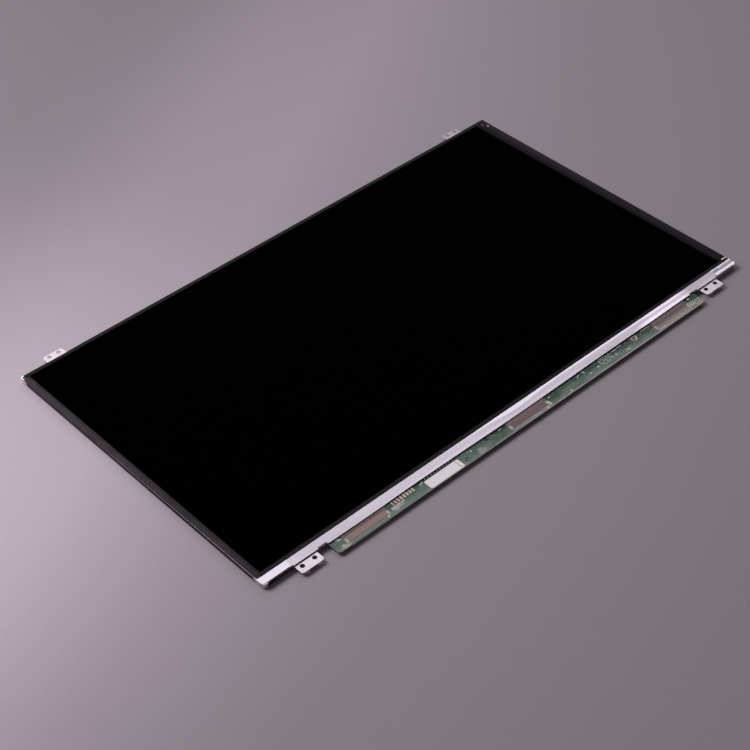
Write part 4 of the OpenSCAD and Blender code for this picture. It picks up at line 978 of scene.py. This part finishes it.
class SCREEN_OT_driver_films(bpy.types.Operator):
    """Finish the three driver films"""

    bl_idname = "screen_panel.driver_films"
    bl_label = "Driver Films"

    def execute(self, context):
        # Polyimide film with fine copper lines under a brown resist: satin, tan where it is bare
        colour = tuple(context.scene.panel_colours.driver_film)
        made, tree, shader, place = new_material("lined_polyimide_film", IOR=1.7, Roughness=0.38)
        across = add(tree, "SeparateXYZ", {"Vector": add(tree, "TexCoord").outputs["Generated"]}).outputs["X"]
        parts = add(tree, "SeparateXYZ", {"Vector": place})
        down = parts.outputs["Y"]
        middle = add(tree, "Math", {0: across, 1: 0.5}, operation="SUBTRACT")
        outward = add(tree, "Math", {0: middle}, operation="ABSOLUTE")
        ends = add(tree, "MapRange", {"Value": outward, "From Min": 0.445, "From Max": 0.455})
        flat = add(tree, "MapRange", {"Value": down, "From Min": -108.4, "From Max": -108.7})
        pads = add(tree, "Math", {0: ends, 1: flat}, operation="MULTIPLY")
        # Copper lines are 0.04 mm apart: drawn 0.5 mm apart
        lines = add(tree, "TexWave", {"Vector": place, "Scale": 0.62, "Distortion": 0.6},
                    bands_direction="X")
        # The resist was wiped on along the film and lies in faint streaks
        wiped = add(tree, "Mapping", {"Vector": place, "Scale": (0.25, 1, 1)})
        streaks = add(tree, "TexNoise", {"Vector": wiped, "Scale": 1, "Detail": 3})
        marked = add(tree, "Math", {0: lines.outputs["Fac"], 1: streaks}, operation="MULTIPLY")
        body = add(tree, "ValToRGB", {"Fac": marked},
                   stops=[(0, toned(colour, 0.55)), (0.5, toned(colour, 1.45))])
        # The left film is pressed flat and pale; the other two keep more of their brown resist
        along = add(tree, "MapRange", {"Value": parts.outputs["X"], "From Min": -130, "From Max": 130})
        rested = add(tree, "ValToRGB", {"Fac": along},
                     stops=[(0.2, (0.86, 0.86, 0.85)), (0.3, (0.3, 0.25, 0.24)), (0.48, (0.28, 0.17, 0.16)),
                            (0.55, (0.32, 0.19, 0.18)), (0.8, (0.45, 0.41, 0.42)), (1, (0.51, 0.48, 0.5))])
        raised = add(tree, "ValToRGB", {"Fac": along},
                     stops=[(0.2, (0.23, 0.2, 0.2)), (0.3, (0.42, 0.36, 0.36)), (0.5, (0.6, 0.52, 0.52)),
                            (0.55, (0.47, 0.42, 0.43)), (0.8, (0.75, 0.6, 0.58)), (1, (0.62, 0.5, 0.53))])
        # The left film is darker where it rises to the glass under the strip: painted shade
        slope = add(tree, "MapRange", {"Value": down, "From Min": -107.9, "From Max": -107.2})
        shade = add(tree, "Mix", {"Factor": slope, MIX_A: rested, MIX_B: raised}, data_type="RGBA")
        dimmed = add(tree, "Mix", {"Factor": 1.0, MIX_A: body, MIX_B: shade.outputs[MIX_RESULT]},
                     data_type="RGBA", blend_type="MULTIPLY")
        # Painted light and shade across the right film, as of a lengthwise bend: a dark painted shade along its
        # middle, and a painted highlight near the board's edge
        depth = add(tree, "MapRange", {"Value": down, "From Min": -111.4, "From Max": -105})
        painted_fold_shade = add(tree, "ValToRGB", {"Fac": depth},
                     stops=[(0.14, grey(2.3)), (0.3, grey(1.1)), (0.45, grey(0.4)), (0.6, grey(0.15)),
                            (0.72, grey(0.8))])
        at_right = add(tree, "MapRange", {"Value": parts.outputs["X"], "From Min": 60, "From Max": 100})
        fold_shaded_tone = add(tree, "Mix", {"Factor": at_right, MIX_A: dimmed.outputs[MIX_RESULT], MIX_B: painted_fold_shade},
                   data_type="RGBA", blend_type="MULTIPLY")
        # Beside the resist the bare film is clear, and the board shows through it
        clear = add(tree, "MapRange", {"Value": outward, "From Min": 0.43, "From Max": 0.45})
        rimmed = add(tree, "Mix", {"Factor": clear, MIX_A: fold_shaded_tone.outputs[MIX_RESULT], MIX_B: linear("423f38")},
                     data_type="RGBA")
        ended = add(tree, "Mix", {"Factor": pads, MIX_A: rimmed.outputs[MIX_RESULT], MIX_B: linear("a59a90")},
                    data_type="RGBA")
        feed(shader, {"Base Color": ended.outputs[MIX_RESULT]})
        bump = add(tree, "Bump", {"Height": lines.outputs["Fac"], "Strength": 0.15, "Distance": 0.02 * MM})
        feed(shader, {"Normal": bump})
        for node in ("driver_film_a", "driver_film_b", "driver_film_c"):
            finish_node(node, made)
        return {"FINISHED"}


class SCREEN_OT_board_label(bpy.types.Operator):
    """Make the blank paper label on the board"""

    bl_idname = "screen_panel.board_label"
    bl_label = "Board Label"

    def execute(self, context):
        # Coated paper label, die cut: white, dull, with a faint fibre
        made, *_ = mottled_material("coated_paper_label", linear("d8dada"), linear("eaecec"), 1.4, 4,
                                    Roughness=0.55, IOR=1.5)
        x0, x1, y0, y1 = LABEL
        radius = 0.4
        sheet = Sheet()
        rows = []
        for x in spread(x0, x1, 0.8):
            lift = 0.12 * fade(x, x1 - 4, x1) ** 2 + 0.02 * noise.noise(Vector((x * 0.3, 1, 1)))
            corner = max(0, radius - min(x - x0, x1 - x))
            inset = radius - math.sqrt(max(0, radius ** 2 - corner * corner))
            low, high = BOARD_TOP + 0.03 + max(0, lift), BOARD_TOP + 0.09 + max(0, lift)
            rows.append([(x, y0 + inset, low), (x, y0 + inset, high), (x, (y0 + y1) / 2, high + 0.01),
                         (x, y1 - inset, high), (x, y1 - inset, low), (x, (y0 + y1) / 2, low)])
        sheet.loft(rows)
        sheet.piece("board_label_sheet", "label_paper", made, ["board_label"], smooth=True)
        # Die-cut edge of a narrower label that lies on the first: raw grey paper
        line, *_ = mottled_material("die_cut_paper_edge", linear("7d807e"), linear("a4a6a3"),
                                    Roughness=0.6, IOR=1.5)
        cut = Sheet()
        cut.ribbon([(-53.0, y0 + 0.4), (-53.0, y1 - 0.4)], 0.4, BOARD_TOP + 0.1, BOARD_TOP + 0.17)
        cut.piece("board_label_line", "label_paper", line)
        return {"FINISHED"}


class SCREEN_OT_board_parts(bpy.types.Operator):
    """Finish the connectors, chips, coils, capacitors and resistors"""

    bl_idname = "screen_panel.board_parts"
    bl_label = "Board Parts"

    def execute(self, context):
        # Epoxy moulding compound: charcoal black with a fine sandy grain
        epoxy, tree, shader, sand = mottled_material("moulded_epoxy", linear("1b1b1c"), linear("2a2a2c"), 3, 3,
                                                     share=(0.35, 0.65), Roughness=0.55, IOR=1.55)
        feed(shader, {"Normal": add(tree, "Bump", {"Height": sand, "Strength": 0.3, "Distance": 0.02 * MM})})
        for node in ("driver_chips", "timing_controller", "led_driver", "level_shifter", "memory_chip"):
            finish_node(node, epoxy)

        # Sintered ferrite: dark grey with a metallic glint
        ferrite, *_ = mottled_material("sintered_ferrite", linear("39393b"), linear("505053"), 4, 3,
                                       share=(0.35, 0.65), Roughness=0.45, Metallic=0.3)
        finish_node("power_coils", ferrite)

        # Chip parts: a fired body between two tinned ends
        bodies = {"front_capacitors": ("fired_grey_ceramic", "6f6a64"),
                  "back_capacitors": ("fired_brown_ceramic", "8a6f52"),
                  "back_resistors": ("glazed_black_resistor", "1d1d1f")}
        for node, (name, code) in bodies.items():
            made, tree, shader, _ = new_material(name, Roughness=0.35, IOR=1.6)
            length = add(tree, "SeparateXYZ", {"Vector": add(tree, "TexCoord").outputs["Generated"]}).outputs["Y"]
            middle = add(tree, "Math", {0: length, 1: 0.5}, operation="SUBTRACT")
            outward = add(tree, "Math", {0: middle}, operation="ABSOLUTE")
            tone = add(tree, "ValToRGB", {"Fac": outward},
                       stops=[(0.26, linear(code)), (0.28, linear("b8bab8"))])
            feed(shader, {"Base Color": tone})
            finish_node(node, made)

        # Liquid crystal polymer, injection moulded: cream, with faint flow streaks
        cream, *_ = mottled_material("moulded_crystal_polymer", linear("cabf9f"), linear("dfd6ba"), 1,
                                     stretch=(0.4, 2.5, 2.5), Roughness=0.45, IOR=1.6)
        for node in ("signal_connector", "led_connector"):
            finish_node(node, cream)

        # Stainless spring sheet, rolled: bright with lengthwise lines
        steel, tree, shader, place = new_material("rolled_stainless_sheet", Base_Color=linear("c8c7c5"), Metallic=1.0)
        rolled = add(tree, "Mapping", {"Vector": place, "Scale": (0.1, 5, 5)})
        lines = add(tree, "TexNoise", {"Vector": rolled, "Scale": 1, "Detail": 2})
        rough = add(tree, "MapRange", {"Value": lines, "To Min": 0.25, "To Max": 0.42})
        feed(shader, {"Roughness": rough})
        finish_node("connector_shell", steel)
        return {"FINISHED"}


# Studio


class SCREEN_OT_stage(bpy.types.Operator):
    """Set the floor, the lamp, the room light and the camera"""

    bl_idname = "screen_panel.stage"
    bl_label = "Stage"

    def execute(self, context):
        scene = context.scene
        scene.view_settings.view_transform = "Standard"
        sizes, colours = scene.panel_sizes, scene.panel_colours

        # Seamless paper: dull and even, with a very faint tooth
        paper, tree, shader, place = new_material("seamless_paper", Roughness=0.85, IOR=1.45, Specular_IOR_Level=0.2)
        tooth = add(tree, "TexNoise", {"Vector": place, "Scale": 0.6, "Detail": 3})
        # Painted pool of light: the paper's tone deepens away from a pale pool beside the panel's left end
        spot = add(tree, "TexCoord").outputs["Object"]
        away = add(tree, "VectorMath", {0: spot, 1: (-0.341, 0.137, 0)}, operation="DISTANCE")
        painted_light_pool = add(tree, "MapRange", {"Value": away.outputs["Value"], "From Min": 0.364, "From Max": 0},
                   interpolation_type="SMOOTHSTEP")
        tone = add(tree, "ValToRGB", {"Fac": painted_light_pool},
                   stops=[(0, toned(colours.floor, 0.56)), (1, tuple(colours.floor))])
        # Painted light: a pale band lies slanting behind the panel, and the paper is darker beyond it
        slant = add(tree, "VectorMath", {0: spot, 1: (-0.533, 1, 0)}, operation="DOT_PRODUCT")
        beyond = add(tree, "MapRange", {"Value": slant.outputs["Value"], "From Min": -0.05, "From Max": 0.35})
        painted_light_band = add(tree, "ValToRGB", {"Fac": beyond},
                   stops=[(0, grey(0.862)), (0.25, grey(0.914)), (0.45, grey(1)), (0.65, grey(0.897)),
                          (0.75, grey(0.793)), (0.85, grey(0.69)), (0.98, grey(0.638))])
        fleck = add(tree, "MapRange", {"Value": tooth, "To Min": 0.93, "To Max": 1.07})
        floor_with_painted_light = add(tree, "VectorMath", {0: tone, 1: painted_light_band}, operation="MULTIPLY")
        flecked = add(tree, "VectorMath", {0: floor_with_painted_light, "Scale": fleck}, operation="SCALE")
        bump = add(tree, "Bump", {"Height": tooth, "Strength": 0.1, "Distance": 0.2 * MM})
        feed(shader, {"Normal": bump, "Base Color": flecked})
        mesh = bpy.data.meshes.new("floor")
        # Just under the panel's back, so that the two faces don't fight
        reach, level = 4.0, -0.00005
        corners = ((-reach, -reach), (reach, -reach), (reach, reach), (-reach, reach))
        mesh.from_pydata([(x, y, level) for x, y in corners], [], [(0, 1, 2, 3)])
        floor = bpy.data.objects.new("floor", mesh)
        mesh.materials.append(paper)
        scene.collection.objects.link(floor)

        # Key soft box behind the left end, and a wide dim reflector that the foil and the ears mirror
        for name, spot, size, energy, tint in (
                ("soft_box", (-0.42, 0.5, 0.75), sizes.lamp_width, 8.2, "fff8fc"),
                ("reflector", (0.75, 0.85, 1.1), 1.4, 8.0, "fbf2fb")):
            lamp = bpy.data.lights.new(name, "AREA")
            lamp.shape, lamp.size, lamp.energy, lamp.color = "SQUARE", size, energy, linear(tint)
            holder = bpy.data.objects.new(name, lamp)
            holder.location = spot
            holder.rotation_euler = (-holder.location).to_track_quat("-Z", "Y").to_euler()
            scene.collection.objects.link(holder)

        world = bpy.data.worlds.new("room")
        world.use_nodes = True
        world.node_tree.nodes.clear()
        light = add(world.node_tree, "Background", {"Color": linear("f6eef4"), "Strength": 0.13})
        add(world.node_tree, "OutputWorld", {"Surface": light})
        scene.world = world

        azimuth, elevation, roll = [math.radians(a) for a in (-41.140, 42.006, -1.990)]
        distance, target = 0.965657, Vector((-0.035446, -0.026935, 0))
        back = Vector((math.sin(azimuth) * math.cos(elevation), -math.cos(azimuth) * math.cos(elevation),
                       math.sin(elevation)))
        right = (-back).cross(Vector((0, 0, 1))).normalized()
        upward = right.cross(-back)
        turned_right = math.cos(roll) * right + math.sin(roll) * upward
        turned_up = -math.sin(roll) * right + math.cos(roll) * upward
        camera = bpy.data.cameras.new("camera")
        camera.sensor_width = 36
        camera.lens = 84.222
        camera.clip_start, camera.clip_end = 0.05, 20
        view = bpy.data.objects.new("camera", camera)
        turn = Matrix((turned_right, turned_up, back)).transposed().to_4x4()
        view.matrix_world = Matrix.Translation(target + back * distance) @ turn
        scene.collection.objects.link(view)
        scene.camera = view
        return {"FINISHED"}


# Add-on


OPERATORS = (SCREEN_OT_tray, SCREEN_OT_mould_frame, SCREEN_OT_screen, SCREEN_OT_light_layers,
             SCREEN_OT_black_tapes, SCREEN_OT_cover_strip, SCREEN_OT_driver_board, SCREEN_OT_driver_films,
             SCREEN_OT_board_label, SCREEN_OT_board_parts, SCREEN_OT_stage)


class VIEW3D_PT_screen_panel(bpy.types.Panel):
    """Sidebar panel with every step and the values it uses"""

    bl_label = "Screen Panel"
    bl_space_type = "VIEW_3D"
    bl_region_type = "UI"
    bl_category = "Screen Panel"

    def draw(self, context):
        for group in (context.scene.panel_sizes, context.scene.panel_colours):
            box = self.layout.box()
            for name in group.__annotations__:
                box.prop(group, name)
        for operator in OPERATORS:
            self.layout.operator(operator.bl_idname)


CLASSES = (PanelSizes, PanelColours, *OPERATORS, VIEW3D_PT_screen_panel)


def register():
    """Registers the classes and hangs the values on the scene."""
    for entry in CLASSES:
        bpy.utils.register_class(entry)
    bpy.types.Scene.panel_sizes = PointerProperty(type=PanelSizes)
    bpy.types.Scene.panel_colours = PointerProperty(type=PanelColours)


def unregister():
    """Takes everything away again."""
    del bpy.types.Scene.panel_colours
    del bpy.types.Scene.panel_sizes
    for entry in reversed(CLASSES):
        bpy.utils.unregister_class(entry)


def main():
    """Builds the whole panel and its studio."""
    register()
    steps = bpy.ops.screen_panel
    for step in (steps.tray, steps.mould_frame, steps.screen, steps.light_layers, steps.black_tapes,
                 steps.cover_strip, steps.driver_board, steps.driver_films, steps.board_label,
                 steps.board_parts, steps.stage):
        step()


if __name__ == "__main__":
    main()
